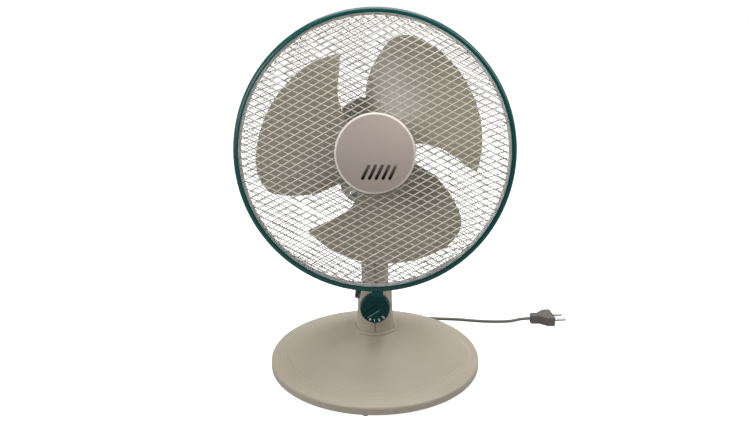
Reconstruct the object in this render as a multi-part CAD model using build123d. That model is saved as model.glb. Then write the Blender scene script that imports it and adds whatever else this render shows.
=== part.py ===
from build123d import *
import math
import os

# A desk fan, in millimetres and degrees.
# Origin on the table under the middle of the base, +X to the right as seen from the front, -Y to the front.
# The pieces of the head are drawn level, about the tilt axis, and then tipped back by rest_tilt.

# Fits and clearances
run_gap = 0.05
seat_gap = 0.02
loose_gap = 0.3
hole_gap = 0.2

# Base
base_r = 146.8
rim_h = 10.0
rim_edge_r = 4.0
base_wall = 2.5
dome_top_z = 55.8
dome_bulge = 2.5
collar_wall = 3.0
collar_h = 4.0
collar_edge_r = 1.9
socket_depth = 24.0
socket_floor_t = 3.0
wire_hole_r = 7.0
groove_count = 4
groove_inset = 11.5
groove_pitch = 3.6
groove_r = 1.2
groove_d = 0.3
foot_h = 5.8
foot_r = 5.0
foot_inset = 11.0
foot_count = 4
foot_turn = -95.0
foot_stem_r = 2.5
base_plate_t = 2.0
base_plate_recess = 0.6
weight_r = 92.0
weight_bore_r = 48.0
weight_t = 8.0

# Screws, the same size in the base, the neck and the gear case
screw_r = 1.75
screw_l = 12.0
screw_head_r = 3.3
screw_head_t = 2.2
screw_recess_w = 0.9
screw_recess_d = 1.2
pillar_r = 5.0
base_screw_count = 4
pillar_gap = 8.0

# Neck
neck_foot_r = 26.5
neck_waist_r = 24.5
shoulder_r = 23.6
shoulder_z = 110.0
stem_r = 18.7
stem_z = 118.0
shoulder_edge_r = 3.0
neck_wall = 2.5
neck_seam = 0.9
neck_post_r = 4.2
neck_post_y = 10.0
neck_head_x = 6.0

# Speed switch and knob
switch_z = 99.2
knob_r = 19.8
knob_t = 10.5
knob_wall = 2.5
knob_edge_r = 1.5
knob_gap = 0.4
knob_hub_r = 5.5
pointer_w = 7.0
pointer_d = 2.2
pointer_bevel = 1.6
pointer_tail = 6.0
pointer_angle = 35.0
boss_margin = 1.4
boss_front = 26.5
switch_r = 13.0
switch_l = 15.0
switch_bush_r = 4.5
switch_bush_l = 4.0
switch_shaft_r = 3.0
switch_shaft_l = 16.5

# Tilt joint
tilt_z = 225.0
rest_tilt = 10.0
knuckle_r = 13.0
knuckle_w = 21.4
fork_gap = 1.5
fork_floor_t = 3.0
ear_r = 14.5
ear_t = 4.2
tilt_bolt_r = 3.0
tilt_head_r = 5.8
tilt_head_t = 4.0
tilt_pocket_r = 7.5

# Swing joint
turntable_r = 24.0
turntable_t = 4.0
turntable_gap = 2.5
swivel_pin_r = 4.5
swivel_pin_sink = 14.0
sleeve_wall = 4.0
sleeve_l = 18.0
washer_t = 1.0
washer_r = 11.0
clip_t = 1.2
clip_r = 7.0
pin_tip = 1.4
stud_offset = 18.0
stud_r = 2.5
stud_shoulder_r = 4.0
web_w = 10.0
web_drop = 14.0
beam_y0 = -18.5
beam_h = 6.0

# Motor
motor_h = 84.0
stator_r = 40.0
stack_l = 22.0
stack_mid_y = 3.0
bell_l = 20.0
bell_wall = 2.5
bell_end_t = 3.0
rotor_r = 21.7
air_gap = 0.3
shaft_r = 4.0
bush_r = 8.0
bush_l = 10.0
winding_r = 36.0
winding_wall = 11.0
winding_l = 10.0
lug_r = 5.0
lug_out = 1.5
lug_angle = 62.0
motor_bolt_r = 2.0
motor_bolt_head_r = 3.6
motor_bolt_head_t = 2.2
tab_t = 2.5
cover_r = 55.0
cover_front_r = 49.0
cover_wall = 2.5
cover_end = 24.0
cover_end_r = 22.0
cover_gap_half_w = 31.0
cover_gap_end_y = 27.0
vent_count = 9
vent_pitch = 7.0
vent_w = 2.6
vent_reach = 34.0
cover_boss_r = 5.0

# Gear train of the swing
gear_module = 0.75
wheel_teeth = 36
pinion_teeth = 12
tooth_play = 0.3
addendum_share = 0.8
dedendum_share = 1.1
pressure_angle = 20.0
wheel_w = 5.0
crank_gear_w = 4.0
pinion_w = 8.0
worm_l = 16.0
worm_seat_r = 2.4
spindle_r = 2.8
crank_shaft_r = 4.5
crank_disc_t = 4.0
crank_throw = 11.0
crank_pin_r = 2.5
crank_rim = 1.5
link_t = 3.0
link_w = 7.0
link_eye_r = 5.5
link_gap = 0.4
case_wall = 2.5
case_floor_t = 3.0
case_lid_t = 2.5
case_rise = 12.0
case_clear = 1.5
crank_gear_lift = 4.0
case_post_r = 4.0
swing_stem_r = 4.0
swing_rod_r = 1.5
swing_knob_r = 9.0
swing_knob_h = 16.0

# Guard
ring_forward = 78.6
ring_r = 173.2
ring_w = 23.4
ring_wall = 2.7
ring_lip = 6.7
ring_edge_r = 5.0
hoop_r = 2.0
guard_depth = 42.0
guard_bend_r = 50.0
guard_rim_slope = 67.0
guard_wire_r = 0.6
wire_pitch = 7.74
wire_lean = 27.1
row_lean = 3.0
layer_gap = 0.7
shortest_wire = 30.0
bend_arcs = 4
clip_w = 13.9
clip_x = 3.1
clip_reach = 6.5
clip_half_l = 9.0
clip_edge_r = 2.5
lug_x = -20.8
ring_lug_r = 3.6
ring_lug_h = 5.5
ring_screw_r = 2.0
ring_screw_head_r = 3.6
ring_screw_head_t = 6.2

# Rear guard plates and nut
plate_half_w = 45.0
plate_half_h = 68.0
plate_corner_r = 30.0
guard_plate_t = 1.6
back_plate_t = 1.5
plate_screw_cells = [(4, 8), (8, 5)]
plate_screw_r = 2.0
plate_screw_head_r = 4.2
plate_screw_head_t = 2.4
plate_nut_t = 2.5
hub_shoulder_r = 20.0
hub_thread_r = 15.0
guard_nut_r = 22.0
guard_nut_t = 6.0
guard_nut_ribs = 12

# Front cap
cap_r = 47.8
cap_rise = 11.5
cap_dome = 4.0
cap_wall = 2.2
cap_edge_r = 3.5
cap_skirt = 4.0
cap_post_r = 2.6
cap_backing_r = 30.0
cap_backing_t = 2.0
slot_count = 5
slot_pitch = 7.9
slot_l = 19.5
slot_w = 3.4
slot_shallow = 1.5
slot_deep = 7.4
slot_lip = 0.5
slot_lean = 26.0
slot_x = 5.0
slot_drop = 21.5

# Blade wheel
blade_count = 3
blade_t = 2.0
blade_rise = 26.0
blade_mid_angle = 45.0
blade_hub_r = 31.0
blade_hub_l = 36.0
blade_hub_wall = 3.0
blade_boss_r = 10.0
blade_back = 1.4
blade_edge = [(101.0, 61.0), (94.5, 95.0), (87.0, 122.0)]
blade_corner = [(80.5, 141.5), (74.0, 148.0)]
blade_tip = [(60.5, 147.0), (41.0, 140.5), (20.0, 134.0), (-10.6, 124.0)]
blade_tail = [(-6.5, 106.0), (1.5, 85.0), (11.0, 56.0)]
blade_root_angles = (101.0, 20.0)
drive_pin_r = 1.5
drive_pin_l = 16.0
drive_pin_inset = 4.0
nut_r = 14.0
nut_l = 13.0
nut_edge_r = 5.0
thread_r = 3.0

# Cord, hank and plug
cord_r = 2.4
relief_l = 25.0
relief_r = 3.9
relief_tip_r = 3.2
relief_inner_l = 5.0
hank_w = 46.0
hank_l = 92.0
hank_h = 15.0
hank_y = 190.0
hank_edge_r = 4.0
cord_in = [(0, 171.8, 10.8), (0, 180.6, 10.8), (-2, 189.2, 9.5)]
cord_out = [
    (21, 196.3, 2.5), (21.4, 176, 2.5), (35, 160.5, 2.5), (60, 150, 2.5), (90.8, 142.4, 2.5),
    (113.4, 141.0, 2.5),
    (137.5, 138.6, 2.5), (161, 133.4, 2.5), (184.7, 130.6, 2.5), (208.9, 130.9, 2.5), (222, 131.5, 3.6),
    (236, 132.4, 6.8), (250, 133.6, 6.8),
]
plug_l = 36.0
plug_w = 35.0
plug_tail_w = 13.0
plug_h = 13.6
plug_edge_r = 3.0
plug_pin_r = 2.0
plug_pin_l = 19.0
plug_pin_gap = 18.6

# Heights and places worked out from the sizes above
rim_z = foot_h + rim_h
collar_top_z = dome_top_z + collar_h
socket_r = neck_foot_r + loose_gap
collar_r = socket_r + collar_wall
socket_floor_z = dome_top_z - socket_depth
plate_z = foot_h + base_plate_recess
plate_top_z = plate_z + base_plate_t
base_screw_ring_r = weight_r + pillar_r + pillar_gap
relief_z = foot_h + rim_h / 2
neck_bolt_x = neck_foot_r - neck_wall - pillar_r / 2
boss_r = knob_r + boss_margin
fork_floor_z = tilt_z - knuckle_r - fork_gap
turntable_z = ear_r + turntable_gap
turntable_top = turntable_z + turntable_t
sleeve_r = swivel_pin_r + sleeve_wall
sleeve_z = turntable_top + washer_t + loose_gap
sleeve_top = sleeve_z + sleeve_l
stack_y0 = stack_mid_y - stack_l / 2
stack_y1 = stack_mid_y + stack_l / 2
bell_y0 = stack_y0 - bell_l
bell_y1 = stack_y1 + bell_l
lug_at = stator_r + lug_out
lug_x_off = lug_at * math.cos(math.radians(lug_angle))
lug_z_off = lug_at * math.sin(math.radians(lug_angle))
wheel_r = gear_module * wheel_teeth / 2
pinion_r = gear_module * pinion_teeth / 2
gear_span = wheel_r + pinion_r
addendum = gear_module * addendum_share
gear_y = bell_y1 + case_wall + case_clear + wheel_r + addendum
case_y1 = gear_y + wheel_r + addendum + case_clear + case_wall
case_x0 = -(wheel_r + addendum + case_clear + case_wall)
case_x1 = gear_span + wheel_r + addendum + case_clear + case_wall
case_z0 = motor_h - lug_z_off + motor_bolt_head_r + 2 * loose_gap
case_top = motor_h + case_rise
cover_y1 = case_y1 + cover_end
crank_z = case_z0 - loose_gap
link_top = motor_h - lug_z_off - lug_r - 4 * loose_gap
half_ring = ring_w / 2
rim_r = ring_r - ring_wall - loose_gap - hoop_r
hoop_off = half_ring - ring_wall - loose_gap - hoop_r
mesh_r = rim_r - hoop_r - guard_wire_r - loose_gap
layer_step = 2 * guard_wire_r + layer_gap
mesh_over = guard_wire_r + loose_gap
mesh_under = layer_step + mesh_over


# Small helpers
def rod(axis, r, start, end, a=0.0, b=0.0):
    """A cylinder along one axis between two stations; a and b are its other two coordinates, in order."""
    length = end - start
    mid = (start + end) / 2
    if axis == "x":
        return Pos(mid, a, b) * Rot(0, 90, 0) * Cylinder(r, length)
    if axis == "y":
        return Pos(a, mid, b) * Rot(90, 0, 0) * Cylinder(r, length)
    return Pos(a, b, mid) * Cylinder(r, length)


def block(x0, x1, y0, y1, z0, z1):
    """A box between two corners."""
    return Pos((x0 + x1) / 2, (y0 + y1) / 2, (z0 + z1) / 2) * Box(x1 - x0, y1 - y0, z1 - z0)


def turned(points_and_arcs, rounds=()):
    """Revolve a closed (radius, height) outline about Z, with its listed corners rounded first."""
    face = make_face(points_and_arcs)
    for corner, radius in rounds:
        face = fillet(face.vertices().sort_by_distance(corner)[0], radius)
    return revolve(Plane.XZ * face, Axis.Z)


def chain(*points):
    """Straight lines from point to point."""
    return [Line(a, b) for a, b in zip(points, points[1:])]


def around(count, radius, turn=0.0):
    """Places evenly spaced on a circle."""
    angles = [math.radians(turn + 360 * i / count) for i in range(count)]
    return [(radius * math.cos(a), radius * math.sin(a)) for a in angles]


def pan_screw(r, length, head_r, head_t):
    """A pan-head screw along +Z with its seat at zero and a cross recess in its head."""
    head = fillet(rod("z", head_r, -head_t, 0).edges().sort_by(Axis.Z)[0], head_t / 2)
    recess = Box(head_r * 1.3, screw_recess_w, screw_recess_d)
    recess += Box(screw_recess_w, head_r * 1.3, screw_recess_d)
    return head + rod("z", r, 0, length) - Pos(0, 0, -head_t) * recess


def house_screw():
    """The screw used all through the fan."""
    return pan_screw(screw_r, screw_l, screw_head_r, screw_head_t)


def hex_nut(bore_r, corner_r, thickness):
    """A hexagon nut on +Z from zero."""
    return extrude(RegularPolygon(corner_r, 6), thickness) - rod("z", bore_r, -1, thickness + 1)


def front_prism(sketch, y0, y1):
    """Extrude a sketch, drawn as seen from the front about the motor axis, between two stations."""
    plane = Plane(origin=(0, y1, motor_h), x_dir=(1, 0, 0), z_dir=(0, -1, 0))
    return extrude(plane * sketch, y1 - y0)


def motor_rod(r, y0, y1):
    """A cylinder on the motor axis."""
    return rod("y", r, y0, y1, 0, motor_h)


def on_guard(shape):
    """Move a shape from the guard's own frame, with +Z to the front, to the ring's plane in the head."""
    return Pos(0, -ring_forward, motor_h) * Rot(90, 0, 0) * shape


def on_rear_guard(shape):
    """Move a shape from the rear guard's own frame, with +Z to the back, to the ring's plane in the head."""
    return Pos(0, -ring_forward, motor_h) * Rot(-90, 0, 0) * shape


def in_head(shape):
    """Tip a piece of the head to its rest tilt and lift it to the tilt axis."""
    return Pos(0, 0, tilt_z) * Rot(-rest_tilt, 0, 0) * shape


# The base's dome is one arc, bulged above the straight line from rim to collar
class Dome:
    def __init__(self):
        run = base_r - collar_r
        rise = dome_top_z - rim_z
        chord = math.hypot(run, rise)
        self.r = (chord**2 / 4 + dome_bulge**2) / (2 * dome_bulge)
        drop = self.r - dome_bulge
        self.cx = (base_r + collar_r) / 2 - drop * rise / chord
        self.cz = (rim_z + dome_top_z) / 2 - drop * run / chord

    def z(self, radius, depth=0.0):
        """Height of the surface, or of one that lies a depth below it."""
        return self.cz + math.sqrt((self.r - depth) ** 2 - (radius - self.cx) ** 2)

    def arc(self, r0, r1, depth=0.0):
        """The profile's arc between two radii."""
        middle = (r0 + r1) / 2
        return ThreePointArc(*[(r, self.z(r, depth)) for r in (r0, middle, r1)])


dome = Dome()


def base_cover():
    top = chain((collar_r, dome.z(collar_r)), (collar_r, collar_top_z), (0, collar_top_z), (0, foot_h))
    side = chain((0, foot_h), (base_r, foot_h), (base_r, dome.z(base_r)))
    corners = [((base_r, rim_z), rim_edge_r), ((collar_r, collar_top_z), collar_edge_r)]
    outer = turned(side + [dome.arc(base_r, collar_r)] + top, corners)
    inner_r = base_r - base_wall
    tube_r = socket_r + base_wall
    under = socket_floor_z - socket_floor_t
    hollow = chain((0, 0), (inner_r, 0), (inner_r, dome.z(inner_r, base_wall)))
    hollow += [dome.arc(inner_r, tube_r, base_wall)]
    hollow += chain((tube_r, dome.z(tube_r, base_wall)), (tube_r, under), (0, under), (0, 0))
    cover = outer - turned(hollow)
    for x, y in around(base_screw_count, base_screw_ring_r, 45):
        cover += rod("z", pillar_r, plate_top_z, dome_top_z, x, y) & outer
        cover -= rod("z", screw_r + seat_gap, 0, plate_z + screw_l + 1, x, y)
    cover -= rod("z", socket_r, socket_floor_z, collar_top_z + 1)
    cover -= rod("z", wire_hole_r, 0, socket_floor_z + 1)
    for x in (-neck_bolt_x, neck_bolt_x):
        cover -= rod("z", screw_r + hole_gap, under - 1, socket_floor_z + 1, x, 0)
    for i in range(groove_count):
        at = base_r - groove_inset - i * groove_pitch
        section = Pos(at, dome.z(at) + groove_r - groove_d) * Circle(groove_r)
        cover -= revolve(Plane.XZ * section, Axis.Z)
    cover -= rod("y", relief_r + seat_gap, inner_r - relief_inner_l, base_r + 1, 0, relief_z)
    return cover


def base_plate():
    plate = rod("z", base_r - base_wall - loose_gap, plate_z, plate_top_z)
    for x, y in around(base_screw_count, base_screw_ring_r, 45):
        plate -= rod("z", screw_r + hole_gap, 0, plate_top_z + 1, x, y)
    for x, y in around(foot_count, base_r - foot_inset, foot_turn):
        plate -= rod("z", foot_stem_r + seat_gap, 0, plate_top_z + 1, x, y)
    notch = relief_r + 2 * loose_gap
    plate -= block(-notch, notch, base_r - base_wall - 2 * relief_inner_l, base_r, 0, rim_z)
    return plate


def base_weight():
    weight = rod("z", weight_r, plate_top_z, plate_top_z + weight_t)
    return weight - rod("z", weight_bore_r, 0, rim_z + weight_t)


def base_feet():
    feet = []
    for x, y in around(foot_count, base_r - foot_inset, foot_turn):
        pad = rod("z", foot_r, 0, plate_z, x, y)
        pad = fillet(pad.edges().sort_by(Axis.Z)[0], foot_h / 4)
        feet.append(pad + rod("z", foot_stem_r, plate_z, plate_top_z, x, y))
    return feet


def base_screws():
    spots = [(x, y, plate_z) for x, y in around(base_screw_count, base_screw_ring_r, 45)]
    spots += [(x, 0, socket_floor_z - socket_floor_t) for x in (-neck_bolt_x, neck_bolt_x)]
    return [Pos(*spot) * house_screw() for spot in spots]


def neck_profile(inset, bottom_z, top_z):
    """The neck's solid of revolution, all its radii less an inset."""
    waist_z = (collar_top_z + shoulder_z) / 2
    foot = (neck_foot_r - inset, collar_top_z)
    shoulder = (shoulder_r - inset, shoulder_z)
    stem = (stem_r - inset, stem_z)
    lines = chain((0, bottom_z), (neck_foot_r - inset, bottom_z), foot)
    lines += [ThreePointArc(foot, (neck_waist_r - inset, waist_z), shoulder)]
    lines += chain(shoulder, stem, (stem_r - inset, top_z), (0, top_z), (0, bottom_z))
    return turned(lines, [(shoulder, shoulder_edge_r), (stem, shoulder_edge_r)])


def neck_screw_spots():
    """Heights of the screws that draw the two neck shells together."""
    return (collar_top_z + screw_l, stem_z + 2 * screw_l, fork_floor_z - 2 * screw_l)


def neck_shell():
    """Both neck shells as one, before the seam divides them."""
    outer = neck_profile(0, socket_floor_z, tilt_z)
    outer += rod("y", boss_r, -boss_front, 0, 0, switch_z)
    outer += rod("z", stem_r, tilt_z, tilt_z + ear_r) & rod("x", ear_r, -stem_r, stem_r, 0, tilt_z)
    shell = outer - neck_profile(neck_wall, socket_floor_z - 1, fork_floor_z - fork_floor_t)
    shell -= rod("y", boss_r - neck_wall, neck_wall - boss_front, 0, 0, switch_z)
    for z in neck_screw_spots():
        shell += rod("x", neck_post_r, -neck_foot_r, neck_foot_r, neck_post_y, z) & outer
    for x in (-neck_bolt_x, neck_bolt_x):
        shell += rod("z", pillar_r, socket_floor_z, socket_floor_z + screw_l, x, 0) & outer
        shell -= rod("z", screw_r + seat_gap, 0, socket_floor_z + screw_l - socket_floor_t + 1, x, 0)
    for z in neck_screw_spots():
        shell -= rod("x", screw_r + hole_gap, -neck_head_x, 0, neck_post_y, z)
        shell -= rod("x", screw_r + seat_gap, 0, screw_l - neck_head_x + 1, neck_post_y, z)
        shell -= rod("x", screw_head_r + hole_gap, -neck_foot_r - 1, -neck_head_x, neck_post_y, z)
    slot = knuckle_w / 2 + loose_gap
    shell -= block(-slot, slot, -stem_r - 1, stem_r + 1, fork_floor_z, tilt_z + ear_r + 1)
    shell -= rod("z", wire_hole_r / 2, fork_floor_z - fork_floor_t - 1, fork_floor_z + 1)
    shell -= rod("x", tilt_bolt_r + hole_gap, -stem_r - 1, stem_r + 1, 0, tilt_z)
    for side in (-1, 1):
        ends = sorted((side * (slot + ear_t), side * (stem_r + 1)))
        shell -= rod("x", tilt_pocket_r, *ends, 0, tilt_z)
    return shell - rod("y", switch_bush_r + seat_gap, -boss_front - 1, 0, 0, switch_z)


def neck_half(shell, side):
    """The part of the neck on one side of the seam."""
    ends = sorted((side * neck_seam / 2, side * 2 * neck_foot_r))
    return shell & block(*ends, -2 * neck_foot_r, 2 * neck_foot_r, 0, tilt_z + ear_r + 1)


def neck_screws():
    screw = Rot(0, 90, 0) * house_screw()
    return [Pos(-neck_head_x, neck_post_y, z) * screw for z in neck_screw_spots()]


def switch_body():
    back = neck_wall - boss_front
    body = rod("y", switch_r, back + loose_gap, back + switch_l, 0, switch_z)
    body += rod("y", switch_bush_r, -boss_front - switch_bush_l, back + 1, 0, switch_z)
    front = -boss_front - switch_bush_l - 1
    return body - rod("y", switch_shaft_r + run_gap, front, back + switch_l / 2, 0, switch_z)


def switch_shaft():
    back = neck_wall - boss_front + switch_l / 2 - loose_gap
    return rod("y", switch_shaft_r, back - switch_shaft_l, back, 0, switch_z)


def speed_knob():
    back = -boss_front - knob_gap
    front = back - knob_t
    knob = rod("y", knob_r, front, back, 0, switch_z)
    knob = fillet(knob.edges().sort_by(Axis.Y)[0], knob_edge_r)
    knob -= rod("y", knob_r - knob_wall, front + 2 * knob_wall, back + 1, 0, switch_z)
    knob += rod("y", knob_hub_r, front + knob_wall, back - switch_bush_l - loose_gap, 0, switch_z)
    tip = neck_wall - boss_front + switch_l / 2 - loose_gap - switch_shaft_l
    knob -= rod("y", switch_shaft_r + seat_gap, tip - loose_gap, back + 1, 0, switch_z)
    reach = knob_r - 2 * knob_edge_r
    pointer = Rot(0, 0, -pointer_angle) * Pos((pointer_tail - reach) / 2, 0)
    pointer *= SlotOverall(reach + pointer_tail, pointer_w)
    face = Plane(origin=(0, front, switch_z), x_dir=(1, 0, 0), z_dir=(0, 1, 0))
    knob -= extrude(face * pointer, pointer_d)
    rim = knob.faces().sort_by(Axis.Y)[0].inner_wires()
    return chamfer(rim.edges(), pointer_bevel)


def tilt_bolt():
    seat = knuckle_w / 2 + loose_gap + ear_t
    bolt = rod("x", tilt_bolt_r, -seat, seat + tilt_head_t, 0, tilt_z)
    head = extrude(RegularPolygon(tilt_head_r, 6), tilt_head_t)
    return bolt + Pos(-seat - tilt_head_t, 0, tilt_z) * Rot(0, 90, 0) * head


def tilt_nut():
    seat = knuckle_w / 2 + loose_gap + ear_t
    return Pos(seat, 0, tilt_z) * Rot(0, 90, 0) * hex_nut(tilt_bolt_r + seat_gap, tilt_head_r, tilt_head_t)


def tilt_knuckle():
    half = knuckle_w / 2
    knuckle = rod("x", knuckle_r, -half, half)
    knuckle += block(-half, half, -knuckle_r, knuckle_r, 0, turntable_z)
    knuckle += rod("z", turntable_r, turntable_z, turntable_top)
    knuckle += rod("z", stud_shoulder_r, turntable_top, link_top - link_t - loose_gap, -stud_offset, 0)
    knuckle += rod("z", stud_r, turntable_top, link_top + link_gap / 2, -stud_offset, 0)
    knuckle -= rod("x", tilt_bolt_r + run_gap, -half - 1, half + 1)
    return knuckle - rod("z", swivel_pin_r + seat_gap, turntable_top - swivel_pin_sink, turntable_top + 1)


def swivel_pin():
    return rod("z", swivel_pin_r, turntable_top - swivel_pin_sink, sleeve_top + loose_gap + clip_t + pin_tip)


def thrust_washer():
    bottom = turntable_top
    return rod("z", washer_r, bottom, bottom + washer_t) - rod("z", swivel_pin_r + seat_gap, 0, motor_h)


def swivel_clip():
    bottom = sleeve_top + loose_gap
    return rod("z", clip_r, bottom, bottom + clip_t) - rod("z", swivel_pin_r + seat_gap, 0, motor_h)


def motor_bracket():
    bracket = rod("z", sleeve_r, sleeve_z, sleeve_top)
    bracket += block(-web_w / 2, web_w / 2, beam_y0, 0, sleeve_top - web_drop, sleeve_top)
    half = lug_x_off + lug_r
    front = bell_y0 - tab_t
    bracket += block(-half, half, front, beam_y0, sleeve_top - beam_h, sleeve_top)
    lug_z = motor_h - lug_z_off
    for side in (-1, 1):
        at = side * lug_x_off
        bracket += block(at - lug_r, at + lug_r, front, bell_y0, sleeve_top - beam_h, lug_z)
        bracket += rod("y", lug_r, front, bell_y0, at, lug_z)
        bracket -= rod("y", motor_bolt_r + hole_gap, front - 1, bell_y0 + 1, at, lug_z)
    return bracket - rod("z", swivel_pin_r + run_gap, 0, sleeve_top + 1)


def lug_spots():
    """Centres of the motor's four bolts, as seen from the front about its axis."""
    return [(sx * lug_x_off, sz * lug_z_off) for sx in (-1, 1) for sz in (-1, 1)]


def motor_section():
    """The stator's and the bells' shared outline with its four drilled lugs."""
    section = Circle(stator_r)
    for x, z in lug_spots():
        section += Pos(x, z) * Circle(lug_r)
    for x, z in lug_spots():
        section -= Pos(x, z) * Circle(motor_bolt_r + hole_gap)
    return section


def upper_lugs(y0, y1):
    """Spacers on the two upper lugs, as thick as what the lower two hold."""
    spacers = Sketch()
    for x, z in lug_spots():
        if z > 0:
            spacers += Pos(x, z) * (Circle(lug_r) - Circle(motor_bolt_r + hole_gap))
    return front_prism(spacers, y0, y1)


def guard_crown_y():
    """Station of the rear mesh's middle at the motor axis."""
    return -ring_forward + guard_depth


def hub_shoulder_y():
    """Station of the shoulder that the rear guard's back plate sits on."""
    return guard_crown_y() + mesh_over + back_plate_t


def guard_nut_y():
    """Station of the guard nut's back face, on the guard plate."""
    return guard_crown_y() - mesh_under - guard_plate_t - loose_gap


def front_bush_y():
    """Station of the front bush's front face."""
    return guard_nut_y()


def front_bell():
    bell = front_prism(motor_section(), bell_y0, stack_y0)
    bell -= motor_rod(stator_r - bell_wall, bell_y0 + bell_end_t, stack_y0 + 1)
    bell += upper_lugs(bell_y0 - tab_t, bell_y0)
    bell += motor_rod(hub_shoulder_r, hub_shoulder_y(), bell_y0 + bell_end_t)
    bell += motor_rod(hub_thread_r, guard_nut_y() - guard_nut_t, hub_shoulder_y())
    bell -= motor_rod(bush_r + seat_gap, front_bush_y(), bell_y0 + bell_end_t + 1)
    return bell - motor_rod(shaft_r + 2 * loose_gap, -ring_forward, bell_y0)


def rear_bell():
    bell = front_prism(motor_section(), stack_y1, bell_y1)
    bell -= motor_rod(stator_r - bell_wall, stack_y1 - 1, bell_y1 - bell_end_t)
    bell += motor_rod(bush_r + bell_wall, bell_y1 - bush_l, bell_y1)
    bell += upper_lugs(bell_y1, bell_y1 + case_wall)
    return bell - motor_rod(bush_r + seat_gap, bell_y1 - bush_l - 1, bell_y1 + 1)


def stator_core():
    stack = front_prism(motor_section(), stack_y0, stack_y1)
    return stack - motor_rod(rotor_r + air_gap, stack_y0 - 1, stack_y1 + 1)


def stator_windings():
    coils = []
    for y0 in (stack_y0 - winding_l, stack_y1):
        coil = motor_rod(winding_r, y0, y0 + winding_l)
        coil -= motor_rod(winding_r - winding_wall, y0 - 1, y0 + winding_l + 1)
        coils.append(fillet(coil.edges().filter_by(GeomType.CIRCLE), winding_l / 4))
    return coils


def shaft_bushes():
    bushes = []
    for y0 in (front_bush_y(), bell_y1 - bush_l):
        bush = motor_rod(bush_r, y0, y0 + bush_l)
        bushes.append(bush - motor_rod(shaft_r + run_gap, y0 - 1, y0 + bush_l + 1))
    return bushes


def motor_bolts():
    seat = bell_y0 - tab_t
    length = bell_y1 + case_wall + motor_bolt_head_t - seat
    screw = Rot(-90, 0, 0) * pan_screw(motor_bolt_r, length, motor_bolt_head_r, motor_bolt_head_t)
    nut = Rot(-90, 0, 0) * hex_nut(motor_bolt_r + seat_gap, motor_bolt_head_r, motor_bolt_head_t)
    bolts = []
    for x, z in lug_spots():
        bolts.append(Pos(x, seat, motor_h + z) * screw)
        bolts.append(Pos(x, bell_y1 + case_wall, motor_h + z) * nut)
    return bolts


def blade_hub_y():
    """Station of the blade wheel's middle, on the ring's plane."""
    return -ring_forward - blade_back


def rotor_core():
    return motor_rod(rotor_r, stack_y0, stack_y1) - motor_rod(shaft_r + seat_gap, stack_y0 - 1, stack_y1 + 1)


def motor_shaft():
    hub_front = blade_hub_y() - blade_hub_l / 2
    shaft = motor_rod(shaft_r, hub_front, bell_y1 + case_wall)
    shaft += motor_rod(thread_r, hub_front - nut_l + nut_edge_r, hub_front)
    shaft += motor_rod(worm_seat_r, bell_y1, gear_y + worm_l / 2)
    at = blade_hub_y() + blade_hub_l / 2 - drive_pin_inset
    return shaft - rod("x", drive_pin_r + seat_gap, -shaft_r - 1, shaft_r + 1, at, motor_h)


def drive_pin():
    at = blade_hub_y() + blade_hub_l / 2 - drive_pin_inset
    return rod("x", drive_pin_r, -drive_pin_l / 2, drive_pin_l / 2, at, motor_h)


def tooth_half_width(radius, pitch_r):
    """Half a tooth's width at a radius, narrowed by the play."""
    pitch_half = (math.pi * gear_module / 2 - tooth_play) / 2
    return pitch_half - (radius - pitch_r) * math.tan(math.radians(pressure_angle))


def gear(teeth, width, turn=0.0):
    """A spur gear about +Z from zero, its first tooth at an angle of turn."""
    pitch_r = gear_module * teeth / 2
    tip_r = pitch_r + addendum
    root_r = pitch_r - gear_module * dedendum_share
    points = []
    for i in range(teeth):
        middle = math.radians(turn + 360 * i / teeth)
        for r, side in ((root_r, -1), (tip_r, -1), (tip_r, 1), (root_r, 1)):
            angle = middle + side * tooth_half_width(r, pitch_r) / r
            points.append((r * math.cos(angle), r * math.sin(angle)))
    return extrude(make_face(Polyline(*points, close=True)), width)


def drive_worm():
    pitch = math.pi * gear_module
    root_r = pinion_r - gear_module * dedendum_share
    turns = math.floor(worm_l / pitch / 2)
    helix = Helix(pitch, 2 * turns * pitch, root_r, center=(0, 0, -turns * pitch))
    inner, outer = root_r - loose_gap, pinion_r + addendum
    half_in, half_out = (tooth_half_width(r, pinion_r) for r in (inner, outer))
    flank = [(inner, -half_in), (outer, -half_out), (outer, half_out), (inner, half_in)]
    section = Plane.XZ * Pos(0, -turns * pitch) * make_face(Polyline(*flank, close=True))
    thread = sweep(section, path=helix, is_frenet=True)
    worm = rod("z", root_r, -worm_l / 2, worm_l / 2) + thread
    worm &= rod("z", outer + 1, -worm_l / 2, worm_l / 2)
    worm -= rod("z", worm_seat_r + seat_gap, -worm_l, worm_l)
    return Pos(0, gear_y, motor_h) * Rot(-90, 0, 0) * worm


def worm_wheel():
    wheel = gear(wheel_teeth, wheel_w, 180 / wheel_teeth) - rod("z", spindle_r + seat_gap, -1, wheel_w + 1)
    return Pos(gear_span, gear_y, motor_h - wheel_w / 2) * wheel


def pinion_z():
    """Height of the pinion's and the crank gear's lower faces."""
    return case_z0 + case_floor_t + crank_gear_lift


def gear_spindle():
    foot = case_z0 + case_floor_t / 2
    spindle = rod("z", spindle_r, foot + loose_gap, case_top + case_lid_t / 2, gear_span, gear_y)
    pinion = gear(pinion_teeth, pinion_w, 180 / pinion_teeth)
    spindle += Pos(gear_span, gear_y, pinion_z() - (pinion_w - crank_gear_w) / 2) * pinion
    return spindle - rod("z", swing_rod_r + loose_gap, foot, case_top + case_lid_t, gear_span, gear_y)


def crank_gear():
    shaft = rod("z", crank_shaft_r, crank_z - crank_disc_t, pinion_z(), 0, gear_y)
    return shaft + Pos(0, gear_y, pinion_z()) * gear(wheel_teeth, crank_gear_w)


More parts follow.
